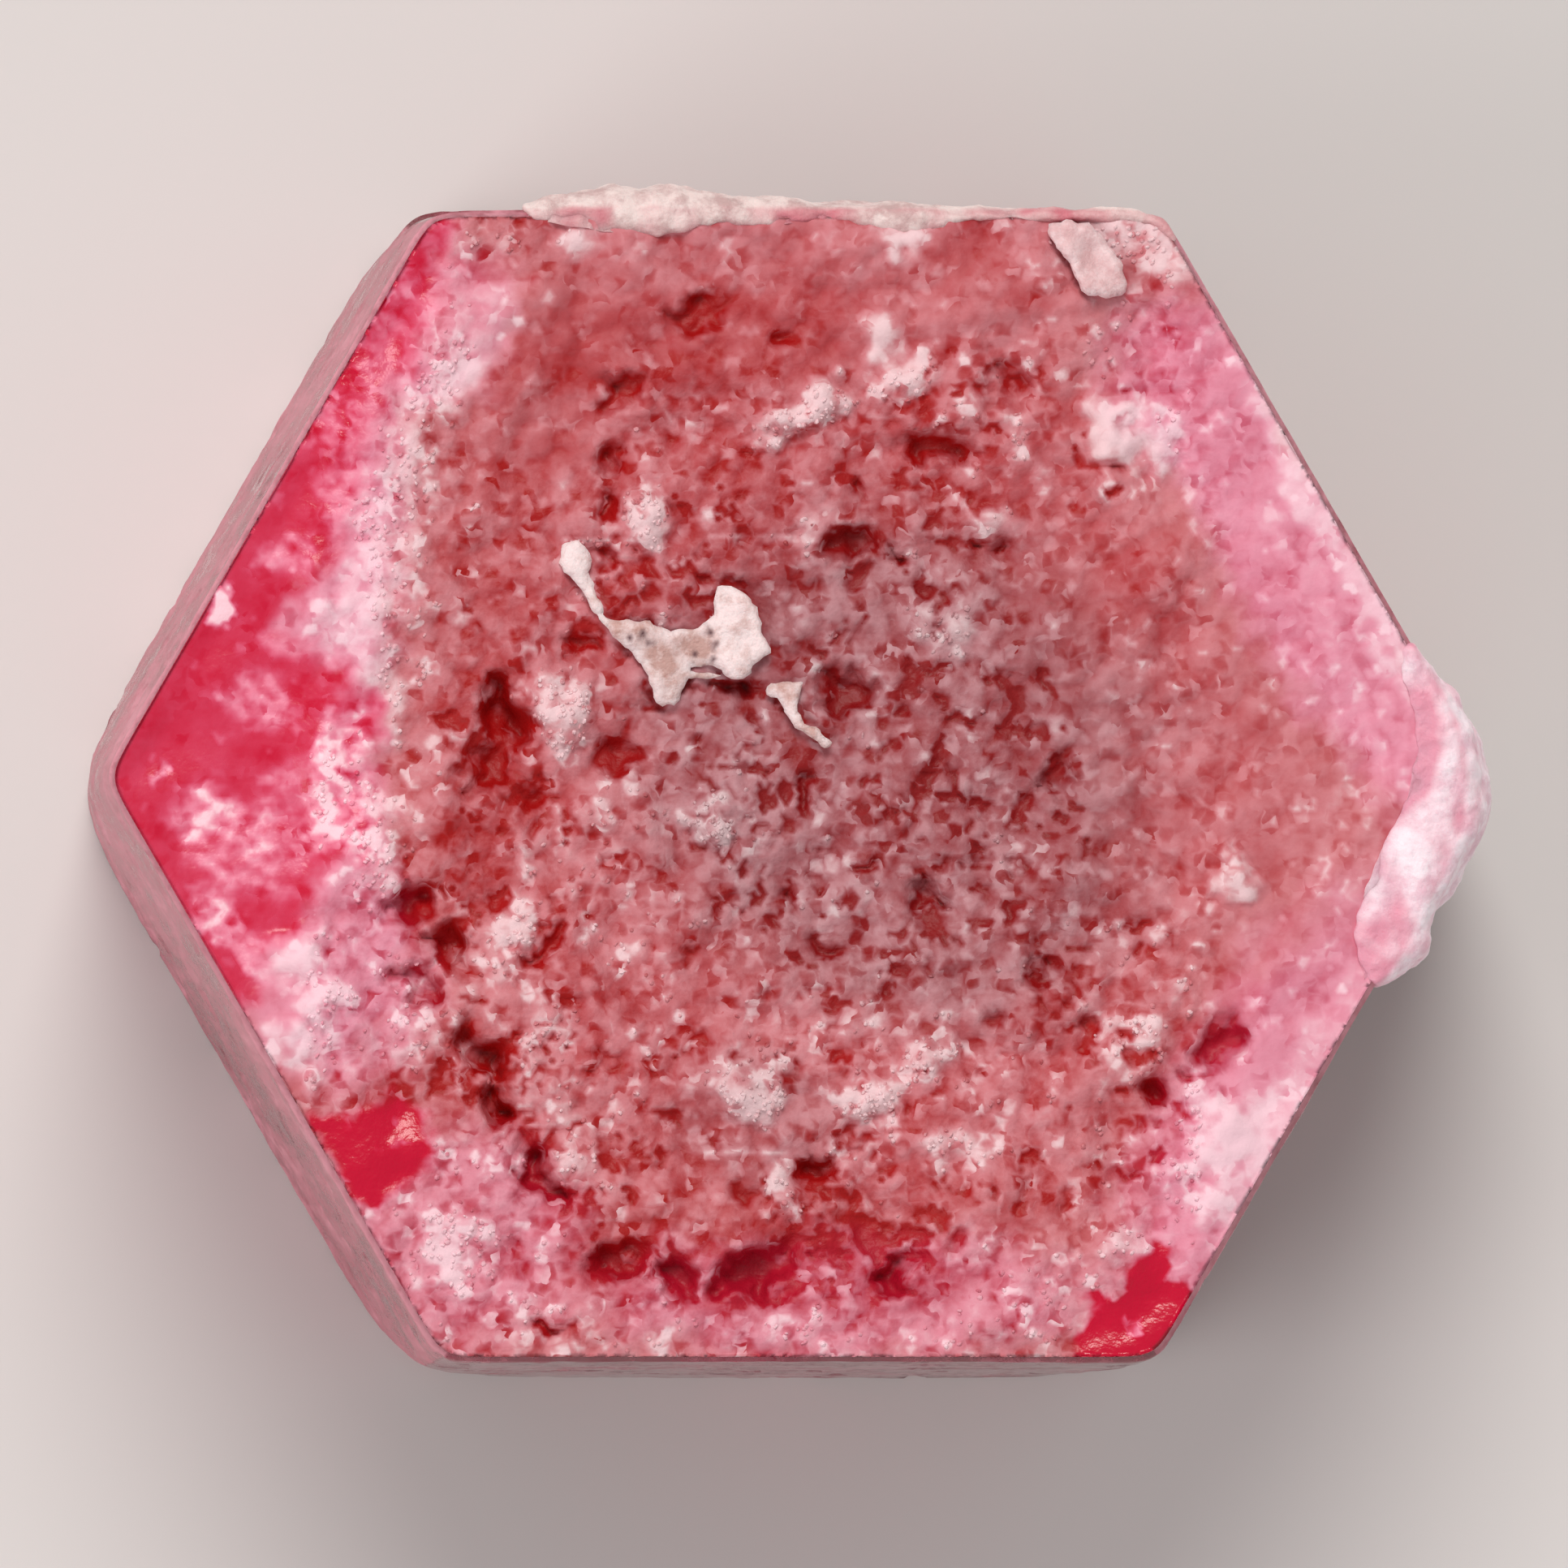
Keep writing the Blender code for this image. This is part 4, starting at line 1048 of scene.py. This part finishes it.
def growth_section(angle, out, lap, drop, rise):
    """The closed section of what laps over the edge: it hugs the side and the end face, and is lumpy outside."""
    top = HEIGHT - GROWTH_EMBED

    def beside(depth):
        return float(outline_radius(angle, HEIGHT - depth)) - GROWTH_EMBED

    wall = beside(0.0)
    corners = (
        (wall, top),
        (wall - lap * 0.5, top),
        (wall - lap, top),
        (wall - lap * 0.9, top + rise * 0.7),
        (wall - lap * 0.45, top + rise + GROWTH_EMBED),
        (wall + out * 0.35, top + rise * 0.75 + GROWTH_EMBED),
        (wall + out * 0.85, top - drop * 0.06),
        (beside(drop * 0.3) + out, HEIGHT - drop * 0.3),
        (beside(drop * 0.65) + out * 0.90, HEIGHT - drop * 0.65),
        (beside(drop * 0.92) + out * 0.55, HEIGHT - drop * 0.92),
        (beside(drop), HEIGHT - drop),
        (beside(drop * 0.5), HEIGHT - drop * 0.5),
    )
    return [(radius * math.cos(angle), radius * math.sin(angle), height) for radius, height in corners]


def build_edge_growth(name, stations, roughness, material):
    """What laps over the edge of the end face, run round the outline through its stations and made lumpy."""
    sections = []
    for start, end in zip(stations, stations[1:]):
        for step in range(GROWTH_STEPS):
            share = step / GROWTH_STEPS
            values = [mix(low, high, float(smooth(share))) for low, high in zip(start[1:], end[1:])]
            angle = math.radians(mix(start[0], end[0], share))
            swell = 1.0 + SWELL * noise.noise(Vector((angle * SWELLS_PER_TURN, 2.0, 5.0)))
            ragged = 1.0 + RAGGED * noise.noise(Vector((angle * SWELLS_PER_TURN, 9.0, 1.0)))
            sections.append(growth_section(angle, values[0] * swell, values[1], values[2] * ragged, values[3]))
    sections.append(growth_section(math.radians(stations[-1][0]), *stations[-1][1:]))
    width = len(sections[0])
    points = [point for section in sections for point in section]
    faces = [tuple(range(width)), tuple(len(points) - width + index for index in range(width))]
    for row in range(len(sections) - 1):
        for column in range(width):
            after = (column + 1) % width
            faces.append((row * width + column, row * width + after,
                          (row + 1) * width + after, (row + 1) * width + column))
    piece = new_piece(name, points, faces, [material])
    rounding = piece.modifiers.new("rounding", "SUBSURF")
    rounding.levels = rounding.render_levels = GROWTH_ROUNDING
    finish_modifiers(piece)
    roughen(piece, roughness)
    return piece


def roughen(piece, heights):
    """Push each point along its normal by soft noise. Heights pairs each size with how far it pushes."""
    mesh = piece.data
    count = len(mesh.vertices)
    places, normals = np.empty(count * 3), np.empty(count * 3)
    mesh.vertices.foreach_get("co", places)
    mesh.vertex_normals.foreach_get("vector", normals)
    places, normals = places.reshape(-1, 3) / MM, normals.reshape(-1, 3)
    push = np.zeros(count)
    for size, height in heights:
        push += height * waves(places[:, 0], places[:, 1], places[:, 2] + size * 31.0, size)
    places = places + normals * push[:, None]
    mesh.vertices.foreach_set("co", (places * MM).ravel())
    mesh.update()
    x, y, z = places.T
    standing = np.maximum(np.hypot(x, y) - outline_radius(np.arctan2(y, x), HEIGHT), z - HEIGHT) / BLUSH_WIDTH
    blush = patch_share(x, y, BLUSHES) + BLUSH_AT_FOOT * (1.0 - smooth(standing))
    blush = blush + BLUSH_NOISE * waves(x, y, z, BLUSH_NOISE_SIZE)
    store(piece, "blush", np.clip(blush, 0.0, 1.0))


def sugar_tree(material):
    """The node tree that strews small faceted grains over a surface, as thickly as its sugar attribute says."""
    tree = bpy.data.node_groups.new("strewn_sugar", "GeometryNodeTree")
    for name, kind in (("Surface", "Geometry"), ("Grains per square metre", "Float"), ("Smallest", "Float"),
                       ("Largest", "Float"), ("Seed", "Int")):
        tree.interface.new_socket(name, in_out="INPUT", socket_type="NodeSocket" + kind)
    tree.interface.new_socket("Grains", in_out="OUTPUT", socket_type="NodeSocketGeometry")
    given = add_node(tree, "NodeGroupInput", {}).node.outputs
    sugar = add_node(tree, "GeometryNodeInputNamedAttribute", {"Name": "sugar"}, data_type="FLOAT")
    density = add_node(tree, "ShaderNodeMath", {0: sugar, 1: given["Grains per square metre"]},
                       operation="MULTIPLY")
    points = add_node(tree, "GeometryNodeDistributePointsOnFaces",
                      {"Mesh": given["Surface"], "Density": density, "Seed": given["Seed"]})
    frost = add_node(tree, "GeometryNodeInputNamedAttribute", {"Name": "frost"}, data_type="FLOAT")
    # Its sockets 2 and 3 and its output 1 are the ones for a single number.
    paler = add_node(tree, "FunctionNodeRandomValue", {2: -0.15, 3: 0.25, "Seed": given["Seed"]}, 1,
                     data_type="FLOAT")
    frost = add_node(tree, "ShaderNodeMath", {0: frost, 1: paler}, operation="ADD")
    points = add_node(tree, "GeometryNodeStoreNamedAttribute",
                      {"Geometry": points, "Name": "frost", "Value": frost}, data_type="FLOAT", domain="POINT")
    grain = add_node(tree, "GeometryNodeMeshIcoSphere", {"Radius": 1.0, "Subdivisions": 1})
    turn = add_node(tree, "FunctionNodeRandomValue", {"Max": (WHOLE_TURN,) * 3, "Seed": given["Seed"]},
                    data_type="FLOAT_VECTOR")
    size = add_node(tree, "FunctionNodeRandomValue",
                    {"Min": given["Smallest"], "Max": given["Largest"], "Seed": given["Seed"]},
                    data_type="FLOAT_VECTOR")
    strewn = add_node(tree, "GeometryNodeInstanceOnPoints",
                      {"Points": points, "Instance": grain, "Rotation": turn, "Scale": size})
    strewn = add_node(tree, "GeometryNodeRealizeInstances", {"Geometry": strewn})
    strewn = add_node(tree, "GeometryNodeSetMaterial", {"Geometry": strewn, "Material": material})
    add_node(tree, "NodeGroupOutput", {"Grains": strewn}, None)
    return tree


def build_sugar(crystal, material):
    """Grains of sugary beryl that stand out of the frosted parts of the end face."""
    sugar = new_object("sugar_grains", crystal.data.copy())
    strewing = sugar.modifiers.new("strewing", "NODES")
    strewing.node_group = sugar_tree(material)
    for socket in strewing.node_group.interface.items_tree:
        if socket.name in SUGAR:
            strewing[socket.identifier] = SUGAR[socket.name]
    mesh = finish_modifiers(sugar)
    mesh.shade_flat()
    return sugar


# --- materials ---
def linear(hex_colour):
    """An sRGB colour, written #rrggbb, as linear red, green, blue and alpha."""
    parts = [int(hex_colour[index:index + 2], 16) / 255.0 for index in (1, 3, 5)]
    return tuple(p / 12.92 if p <= 0.04045 else ((p + 0.055) / 1.055) ** 2.4 for p in parts) + (1.0,)


def per_metre(size):
    """The texture scale that makes a pattern's cells about this many millimetres across."""
    return 1.0 / (size * MM)


def set_inputs(tree, node, inputs):
    """Give each of a node's inputs a value, or link it from an output."""
    for socket, value in inputs.items():
        if isinstance(value, bpy.types.NodeSocket):
            tree.links.new(value, node.inputs[socket])
        else:
            node.inputs[socket].default_value = value


def add_node(tree, kind, inputs, output=0, **settings):
    """Add a node with its settings and inputs, and return one of its outputs, or None for a node with none."""
    node = tree.nodes.new(kind)
    for setting, value in settings.items():
        setattr(node, setting, value)
    set_inputs(tree, node, inputs)
    return None if output is None else node.outputs[output]


def new_material(name):
    """A new material, its node tree and its shader."""
    material = bpy.data.materials.new(name)
    material.use_nodes = True
    tree = material.node_tree
    return material, tree, tree.nodes["Principled BSDF"]


def add_absorption(tree):
    """Red beryl's own colour: the further the light goes inside, the redder it comes out."""
    volume = add_node(tree, "ShaderNodeVolumeAbsorption",
                      {"Color": linear(BERYL_PASSES), "Density": BERYL_DENSITY})
    set_inputs(tree, tree.nodes["Material Output"], {"Volume": volume})


# A colour mix takes its share in socket 0 and its two colours in 6 and 7, and gives its colour from output 2.
COLOUR_MIX = {"data_type": "RGBA"}
SOFT_RANGE = {"interpolation_type": "SMOOTHSTEP"}
TIMES_PLUS = {"operation": "MULTIPLY_ADD"}

BERYL_IOR = 1.572
BERYL_PASSES = "#fc4b92"
BERYL_DENSITY = 420.0
FACE_GLOSS, SUGAR_GLOSS = 0.25, 0.5
# The etching's grains that are too fine for the mesh: their size, the size of the specks on them, how far their
# places are stirred and over what size, and what brings their paleness to nothing on the whole.
FINE_GRAIN_SIZE, SPECK_SIZE = 0.13, 0.06
STIR_SIZE, STIR_REACH = 0.12, 0.12 * MM
SPECK_FROST, GRAIN_MIDDLE = 0.22, -0.07
# Etched beryl's colours: in its main part, in the brownish middle and in the pink rim.
DEEP_TONES = ("#a40406", "#8a070c", "#b80e36")
BODY_TONES = ("#b2444a", "#9c4b51", "#c85a74")
PALE_TONES = ("#ca7c83", "#b88288", "#df8fa5")
CLEAR_TONES = ("#dc0036", "#e24f72")
CLEAR_FROST_TONES = ("#ea86a0", "#fccfda")
FROST_TONES = ("#e8c6ca", "#d6babd", "#f1c8d4")
# The prism faces' colours, deep, pale and frosted, and the sawn base's, deep and pale.
FACE_TONES = ("#b01238", "#e03a62", "#e298a6")
BASE_TONES = ("#b3243f", "#e8a0ac")
STRIA_WIDTH, FACE_SPECK_SIZE, FACE_CLOUD_SIZE = 0.11, 0.09, 1.5
SAW_MARK_WIDTH, BASE_CLOUD_SIZE = 0.18, 1.2
# Each white mineral: its colour, its shaded colour, the pink that shows through it, and the size of its specks.
WHITE_MINERALS = (
    ("white_clay_film", "#f2dcdc", "#c39a92", "#dba0a4", 0.04),
    ("white_clay_flake", "#e9cdcf", "#d6acae", "#dba0a4", 0.05),
    ("white_clay_crust", "#e6d2cf", "#bd9a99", "#c8707c", 0.06),
    ("pale_rhyolite", "#fbe8f0", "#e6bccb", "#e295aa", 0.07),
)
MINERAL_CLOUD_SIZE = 0.25
# The dark of the pinholes: painted shade.
PINHOLE_SHADE_TONE = "#5a3238"


def etched_beryl(name, gloss):
    """Red beryl etched by nature: sugary pale frosting over a deep red body that shows in its hollows."""
    material, tree, shader = new_material(name)
    place = add_node(tree, "ShaderNodeTexCoord", {}, "Object")
    frost, contrast, clear, brown, pink = (
        add_node(tree, "ShaderNodeAttribute", {}, "Fac", attribute_name=attribute)
        for attribute in ("frost", "contrast", "clear", "brown", "pink")
    )

    # The grains of the etching that are too fine for the mesh.
    stir = add_node(tree, "ShaderNodeTexNoise", {"Vector": place, "Scale": per_metre(STIR_SIZE), "Detail": 0.0},
                    "Color")
    stirred = add_node(tree, "ShaderNodeVectorMath", {0: stir, 1: (STIR_REACH,) * 3, 2: place}, **TIMES_PLUS)
    edges = add_node(tree, "ShaderNodeTexVoronoi", {"Vector": stirred, "Scale": per_metre(FINE_GRAIN_SIZE)},
                     "Distance", distance="CHEBYCHEV")
    numbers = edges.node.outputs["Color"]
    domes = add_node(tree, "ShaderNodeMapRange", {"Value": edges, "From Min": 0.64, "From Max": 0.14},
                     **SOFT_RANGE)
    worth = add_node(tree, "ShaderNodeMapRange",
                     {"Value": numbers, "From Min": 0.14, "From Max": 0.78, "To Min": -0.45, "To Max": 0.16})
    # Painted highlights: the grains with the highest numbers are painted paler, to stand for glints.
    painted_glint = add_node(tree, "ShaderNodeMapRange",
                     {"Value": numbers, "From Min": 0.70, "From Max": 0.88, "To Max": 0.28})
    worth = add_node(tree, "ShaderNodeMath", {0: worth, 1: painted_glint}, operation="ADD")
    specks = add_node(tree, "ShaderNodeTexNoise", {"Vector": place, "Scale": per_metre(SPECK_SIZE), "Detail": 2.0})
    grain = add_node(tree, "ShaderNodeMath", {0: specks, 1: SPECK_FROST, 2: GRAIN_MIDDLE}, **TIMES_PLUS)
    grain = add_node(tree, "ShaderNodeMath", {0: domes, 1: worth, 2: grain}, **TIMES_PLUS)
    pale = add_node(tree, "ShaderNodeMath", {0: grain, 1: contrast, 2: frost}, **TIMES_PLUS)

    # The colours from the deepest hollow to the whitest frost, each brownish or pinkish in its place.
    tones = []
    for usual, brownish, pinkish in (DEEP_TONES, BODY_TONES, PALE_TONES, FROST_TONES):
        tone = add_node(tree, "ShaderNodeMix", {0: brown, 6: linear(usual), 7: linear(brownish)}, 2, **COLOUR_MIX)
        tones.append(add_node(tree, "ShaderNodeMix", {0: pink, 6: tone, 7: linear(pinkish)}, 2, **COLOUR_MIX))
    deep, body, flesh, white = tones
    flesh, white = (
        add_node(tree, "ShaderNodeMix", {0: clear, 6: tone, 7: linear(clear_tone)}, 2, **COLOUR_MIX)
        for tone, clear_tone in zip((flesh, white), CLEAR_FROST_TONES)
    )
    share = add_node(tree, "ShaderNodeMapRange", {"Value": pale, "From Max": 0.34}, **SOFT_RANGE)
    colour = add_node(tree, "ShaderNodeMix", {0: share, 6: deep, 7: body}, 2, **COLOUR_MIX)
    veil = add_node(tree, "ShaderNodeMapRange", {"Value": pale, "From Min": 0.05, "From Max": 0.40}, **SOFT_RANGE)
    raspberry, veiled = CLEAR_TONES
    raspberry = add_node(tree, "ShaderNodeMix", {0: veil, 6: linear(raspberry), 7: linear(veiled)}, 2,
                         **COLOUR_MIX)
    colour = add_node(tree, "ShaderNodeMix", {0: clear, 6: colour, 7: raspberry}, 2, **COLOUR_MIX)
    for start, end, tone in ((0.25, 0.70, flesh), (0.62, 1.15, white)):
        share = add_node(tree, "ShaderNodeMapRange", {"Value": pale, "From Min": start, "From Max": end},
                         **SOFT_RANGE)
        colour = add_node(tree, "ShaderNodeMix", {0: share, 6: colour, 7: tone}, 2, **COLOUR_MIX)

    # Clear skin is smooth and see-through. Frosting scatters the light and is rough.
    rough = add_node(tree, "ShaderNodeMapRange", {"Value": pale, "From Max": 0.9, "To Min": 0.5, "To Max": 0.7})
    rough = add_node(tree, "ShaderNodeMath", {0: clear, 1: -0.28, 2: rough}, **TIMES_PLUS)
    bare = add_node(tree, "ShaderNodeMapRange", {"Value": pale, "From Max": 0.6, "To Min": 1.0, "To Max": 0.0})
    see_through = add_node(tree, "ShaderNodeMath", {0: clear, 1: 0.20, 2: 0.06}, **TIMES_PLUS)
    see_through = add_node(tree, "ShaderNodeMath", {0: see_through, 1: bare}, operation="MULTIPLY", use_clamp=True)

    strength = add_node(tree, "ShaderNodeMapRange", {"Value": contrast, "To Min": 0.10, "To Max": 0.42})
    bump = add_node(tree, "ShaderNodeBump", {"Height": specks, "Strength": strength, "Distance": 0.03 * MM})
    set_inputs(tree, shader, {
        "Base Color": colour,
        "Roughness": rough,
        "Transmission Weight": see_through,
        "IOR": BERYL_IOR,
        "Specular IOR Level": gloss,
        "Normal": bump,
    })
    return material


def prism_face():
    """A natural prism face: glassy deep raspberry beryl with fine growth lines up it, hazed where it is etched."""
    material, tree, shader = new_material("glassy_prism_face")
    place = add_node(tree, "ShaderNodeTexCoord", {}, "Object")
    frosted = add_node(tree, "ShaderNodeAttribute", {}, "Fac", attribute_name="side_frost")
    upright = add_node(tree, "ShaderNodeMapping", {"Vector": place, "Scale": (1.0, 1.0, 0.06)})
    lines = add_node(tree, "ShaderNodeTexNoise",
                     {"Vector": upright, "Scale": per_metre(STRIA_WIDTH), "Detail": 2.0})
    specks = add_node(tree, "ShaderNodeTexNoise",
                      {"Vector": place, "Scale": per_metre(FACE_SPECK_SIZE), "Detail": 2.0, "Roughness": 0.7})
    cloud = add_node(tree, "ShaderNodeTexNoise",
                     {"Vector": place, "Scale": per_metre(FACE_CLOUD_SIZE), "Detail": 3.0})

    pale = add_node(tree, "ShaderNodeMath", {0: specks, 1: 0.8, 2: frosted}, **TIMES_PLUS)
    pale = add_node(tree, "ShaderNodeMath", {0: lines, 1: 0.5, 2: pale}, **TIMES_PLUS)
    frost = add_node(tree, "ShaderNodeMapRange", {"Value": pale, "From Min": 0.60, "From Max": 1.80}, **SOFT_RANGE)
    depth = add_node(tree, "ShaderNodeMapRange", {"Value": cloud, "From Min": 0.35, "From Max": 0.68}, **SOFT_RANGE)
    colour = linear(FACE_TONES[0])
    for share, tone in zip((depth, frost), FACE_TONES[1:]):
        colour = add_node(tree, "ShaderNodeMix", {0: share, 6: colour, 7: linear(tone)}, 2, **COLOUR_MIX)

    see_through = add_node(tree, "ShaderNodeMapRange", {"Value": frost, "To Min": 0.62, "To Max": 0.08})
    rough = add_node(tree, "ShaderNodeMapRange", {"Value": frost, "To Min": 0.04, "To Max": 0.60})
    rough = add_node(tree, "ShaderNodeMath", {0: specks, 1: 0.12, 2: rough}, **TIMES_PLUS)
    height = add_node(tree, "ShaderNodeMath", {0: specks, 1: frost, 2: lines}, **TIMES_PLUS)
    bump = add_node(tree, "ShaderNodeBump", {"Height": height, "Strength": 0.35, "Distance": 0.02 * MM})
    set_inputs(tree, shader, {
        "Base Color": colour,
        "Roughness": rough,
        "Transmission Weight": see_through,
        "IOR": BERYL_IOR,
        "Normal": bump,
    })
    add_absorption(tree)
    return material


def cut_base():
    """Beryl sawn flat: a rough, pale red face with fine saw marks."""
    material, tree, shader = new_material("sawn_beryl_base")
    place = add_node(tree, "ShaderNodeTexCoord", {}, "Object")
    across = add_node(tree, "ShaderNodeMapping", {"Vector": place, "Scale": (0.06, 1.0, 1.0)})
    marks = add_node(tree, "ShaderNodeTexNoise",
                     {"Vector": across, "Scale": per_metre(SAW_MARK_WIDTH), "Detail": 4.0})
    cloud = add_node(tree, "ShaderNodeTexNoise",
                     {"Vector": place, "Scale": per_metre(BASE_CLOUD_SIZE), "Detail": 5.0})
    deep, pale = BASE_TONES
    colour = add_node(tree, "ShaderNodeMix", {0: cloud, 6: linear(deep), 7: linear(pale)}, 2, **COLOUR_MIX)
    bump = add_node(tree, "ShaderNodeBump", {"Height": marks, "Strength": 0.5, "Distance": 0.02 * MM})
    set_inputs(tree, shader, {
        "Base Color": colour,
        "Roughness": 0.55,
        "Transmission Weight": 0.15,
        "IOR": BERYL_IOR,
        "Normal": bump,
    })
    add_absorption(tree)
    return material


def white_mineral(name, light, shade, blush_colour, speckle_size):
    """A chalky white clay mineral: dull, dense and faintly pink, with fine darker specks. On sheets the rims are
    painted lighter as painted highlight, and the pinholes dark as painted shade.
    """
    material, tree, shader = new_material(name)
    place = add_node(tree, "ShaderNodeTexCoord", {}, "Object")
    hole_shade, plate, margin, blush = (
        add_node(tree, "ShaderNodeAttribute", {}, "Fac", attribute_name=attribute)
        for attribute in ("painted_pinhole_shade", "plate", "margin", "blush")
    )
    cloud = add_node(tree, "ShaderNodeTexNoise",
                     {"Vector": place, "Scale": per_metre(MINERAL_CLOUD_SIZE), "Detail": 5.0, "Roughness": 0.65})
    specks = add_node(tree, "ShaderNodeTexNoise",
                      {"Vector": place, "Scale": per_metre(speckle_size), "Detail": 3.0})
    # Partly painted highlight: the sheets are painted lighter along their rims, where the curled edges catch the
    # light, and darker inside, where more of the crystal shows through.
    thin_inside_and_lit_rims = add_node(tree, "ShaderNodeMapRange", {"Value": margin, "From Max": 0.12, "To Max": 0.50})
    bright = add_node(tree, "ShaderNodeMath", {0: plate, 1: 0.8, 2: 0.1}, **TIMES_PLUS)
    dark = add_node(tree, "ShaderNodeMapRange", {"Value": cloud, "From Min": 0.38, "From Max": 0.68}, **SOFT_RANGE)
    dark = add_node(tree, "ShaderNodeMath", {0: dark, 1: thin_inside_and_lit_rims}, operation="ADD")
    dark = add_node(tree, "ShaderNodeMath", {0: dark, 1: bright}, operation="SUBTRACT", use_clamp=True)
    colour = linear(light)
    # The pinholes are painted dark, as painted shade.
    for share, tone in ((dark, shade), (blush, blush_colour), (hole_shade, PINHOLE_SHADE_TONE)):
        colour = add_node(tree, "ShaderNodeMix", {0: share, 6: colour, 7: linear(tone)}, 2, **COLOUR_MIX)
    height = add_node(tree, "ShaderNodeMath", {0: cloud, 1: 1.5, 2: specks}, **TIMES_PLUS)
    bump = add_node(tree, "ShaderNodeBump", {"Height": height, "Strength": 0.6, "Distance": 0.03 * MM})
    set_inputs(tree, shader, {
        "Base Color": colour,
        "Roughness": 0.55,
        "IOR": 1.55,
        "Subsurface Weight": 0.3,
        "Subsurface Radius": (1.0, 0.7, 0.7),
        "Subsurface Scale": 0.12 * MM,
        "Normal": bump,
    })
    return material


# --- the stage ---
# The floor's half width, in metres, and the colours of the floor and of the room, round the sides and overhead.
FLOOR_HALF_WIDTH = 1.6
FLOOR_TONE = "#d6d4d2"
ROOM_TONES = ("#e4e2e0", "#a3a2a2")
# Each lamp: its name, the way it stands and its height, in degrees, its width in degrees, its strength and colour.
LAMPS = (
    ("key_light", 95, 55, 25, 1.9, "#fffaf6"),
    ("side_light", 205, 38, 35, 0.9, "#fff4f5"),
)


def build_floor():
    """A plain pale table under the crystal."""
    half = FLOOR_HALF_WIDTH
    mesh = bpy.data.meshes.new("floor")
    mesh.from_pydata([(-half, -half, 0), (half, -half, 0), (half, half, 0), (-half, half, 0)], [], [(0, 1, 2, 3)])
    floor = new_object("floor", mesh)
    material, tree, shader = new_material("pale_table")
    set_inputs(tree, shader, {"Base Color": linear(FLOOR_TONE), "Roughness": 0.8})
    mesh.materials.append(material)


def add_lamp(name, turn, elevation, softness, strength, colour):
    """A broad soft light that shines on the crystal from far off. Softness is its width in degrees."""
    lamp = bpy.data.lights.new(name, "SUN")
    lamp.angle = math.radians(softness)
    lamp.energy = strength
    lamp.color = linear(colour)[:3]
    body = new_object(name, lamp)
    turn, elevation = math.radians(turn), math.radians(elevation)
    level = math.cos(elevation)
    body.location = (math.cos(turn) * level, math.sin(turn) * level, math.sin(elevation))
    body.rotation_euler = body.location.to_track_quat("Z", "Y").to_euler()


def build_world():
    """A pale room, brighter round the sides than overhead."""
    world = bpy.data.worlds.new("soft_room")
    world.use_nodes = True
    tree = world.node_tree
    direction = add_node(tree, "ShaderNodeTexCoord", {}, "Generated")
    upward = add_node(tree, "ShaderNodeSeparateXYZ", {"Vector": direction}, "Z")
    overhead = add_node(tree, "ShaderNodeMapRange", {"Value": upward, "From Min": 0.05, "From Max": 0.7})
    sides, above = ROOM_TONES
    colour = add_node(tree, "ShaderNodeMix", {0: overhead, 6: linear(sides), 7: linear(above)}, 2, **COLOUR_MIX)
    set_inputs(tree, tree.nodes["Background"], {"Color": colour, "Strength": 1.0})
    bpy.context.scene.world = world


def build_stage():
    """The floor, the two lamps and the room."""
    build_floor()
    for lamp in LAMPS:
        add_lamp(*lamp)
    build_world()
    bpy.context.scene.view_settings.view_transform = "Standard"


def build_camera():
    """A long lens almost straight above the end face, leaning a little to the left and down."""
    camera = bpy.data.cameras.new("camera")
    frame_width = FRAME_PIXELS / PIXELS_PER_MM
    camera.sensor_width = SENSOR_WIDTH
    camera.lens = SENSOR_WIDTH * CAMERA_DISTANCE / frame_width
    camera.clip_start, camera.clip_end = 0.01, 10.0
    body = new_object("camera", camera)
    half = FRAME_PIXELS / 2
    middle = Vector(((half - AXIS_PIXEL[0]) / PIXELS_PER_MM, (AXIS_PIXEL[1] - half) / PIXELS_PER_MM, HEIGHT)) * MM
    tilt, turn = math.radians(CAMERA_TILT), math.radians(CAMERA_TURN)
    away = Vector((math.sin(tilt) * math.cos(turn), math.sin(tilt) * math.sin(turn), math.cos(tilt)))
    right = Vector((0.0, 1.0, 0.0)).cross(away).normalized()
    up = away.cross(right)
    body.location = middle + away * CAMERA_DISTANCE * MM
    body.rotation_euler = Matrix((right, up, away)).transposed().to_euler()
    bpy.context.scene.camera = body


def place_on_frame(piece, node):
    """The piece rides on the one body and stands for its solid, which is hidden."""
    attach(piece, "root")
    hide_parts(node)


def main():
    """Builds all the pieces and sets each on the frame."""
    build_stage()
    build_camera()
    end_face = etched_beryl("etched_red_beryl", FACE_GLOSS)
    add_absorption(end_face.node_tree)
    crystal = build_crystal([end_face, prism_face(), cut_base()])
    sugar = build_sugar(crystal, etched_beryl("sugary_red_beryl", SUGAR_GLOSS))
    film_white, flake_white, crust_white, matrix_pale = (white_mineral(*looks) for looks in WHITE_MINERALS)
    film = build_sheet("clay_film", FILM_OUTLINE, FILM_THICKNESS, PLATE_RISE, film_white)
    fragment = build_sheet("clay_film_fragment", FRAGMENT_OUTLINE, FILM_THICKNESS, 0.0, film_white)
    flake = build_sheet("clay_corner_flake", FLAKE_OUTLINE, FLAKE_THICKNESS, 0.0, flake_white)
    crust = build_edge_growth("clay_edge_crust", CRUST_STATIONS, CRUST_ROUGHNESS, crust_white)
    knob = build_edge_growth("rhyolite_knob", KNOB_STATIONS, KNOB_ROUGHNESS, matrix_pale)
    place_on_frame(crystal, "red_beryl_crystal")
    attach(sugar, "root")
    place_on_frame(film, "white_mineral_film")
    place_on_frame(fragment, "white_film_fragment")
    place_on_frame(flake, "corner_flake")
    place_on_frame(crust, "top_edge_crust")
    place_on_frame(knob, "matrix_knob")


main()
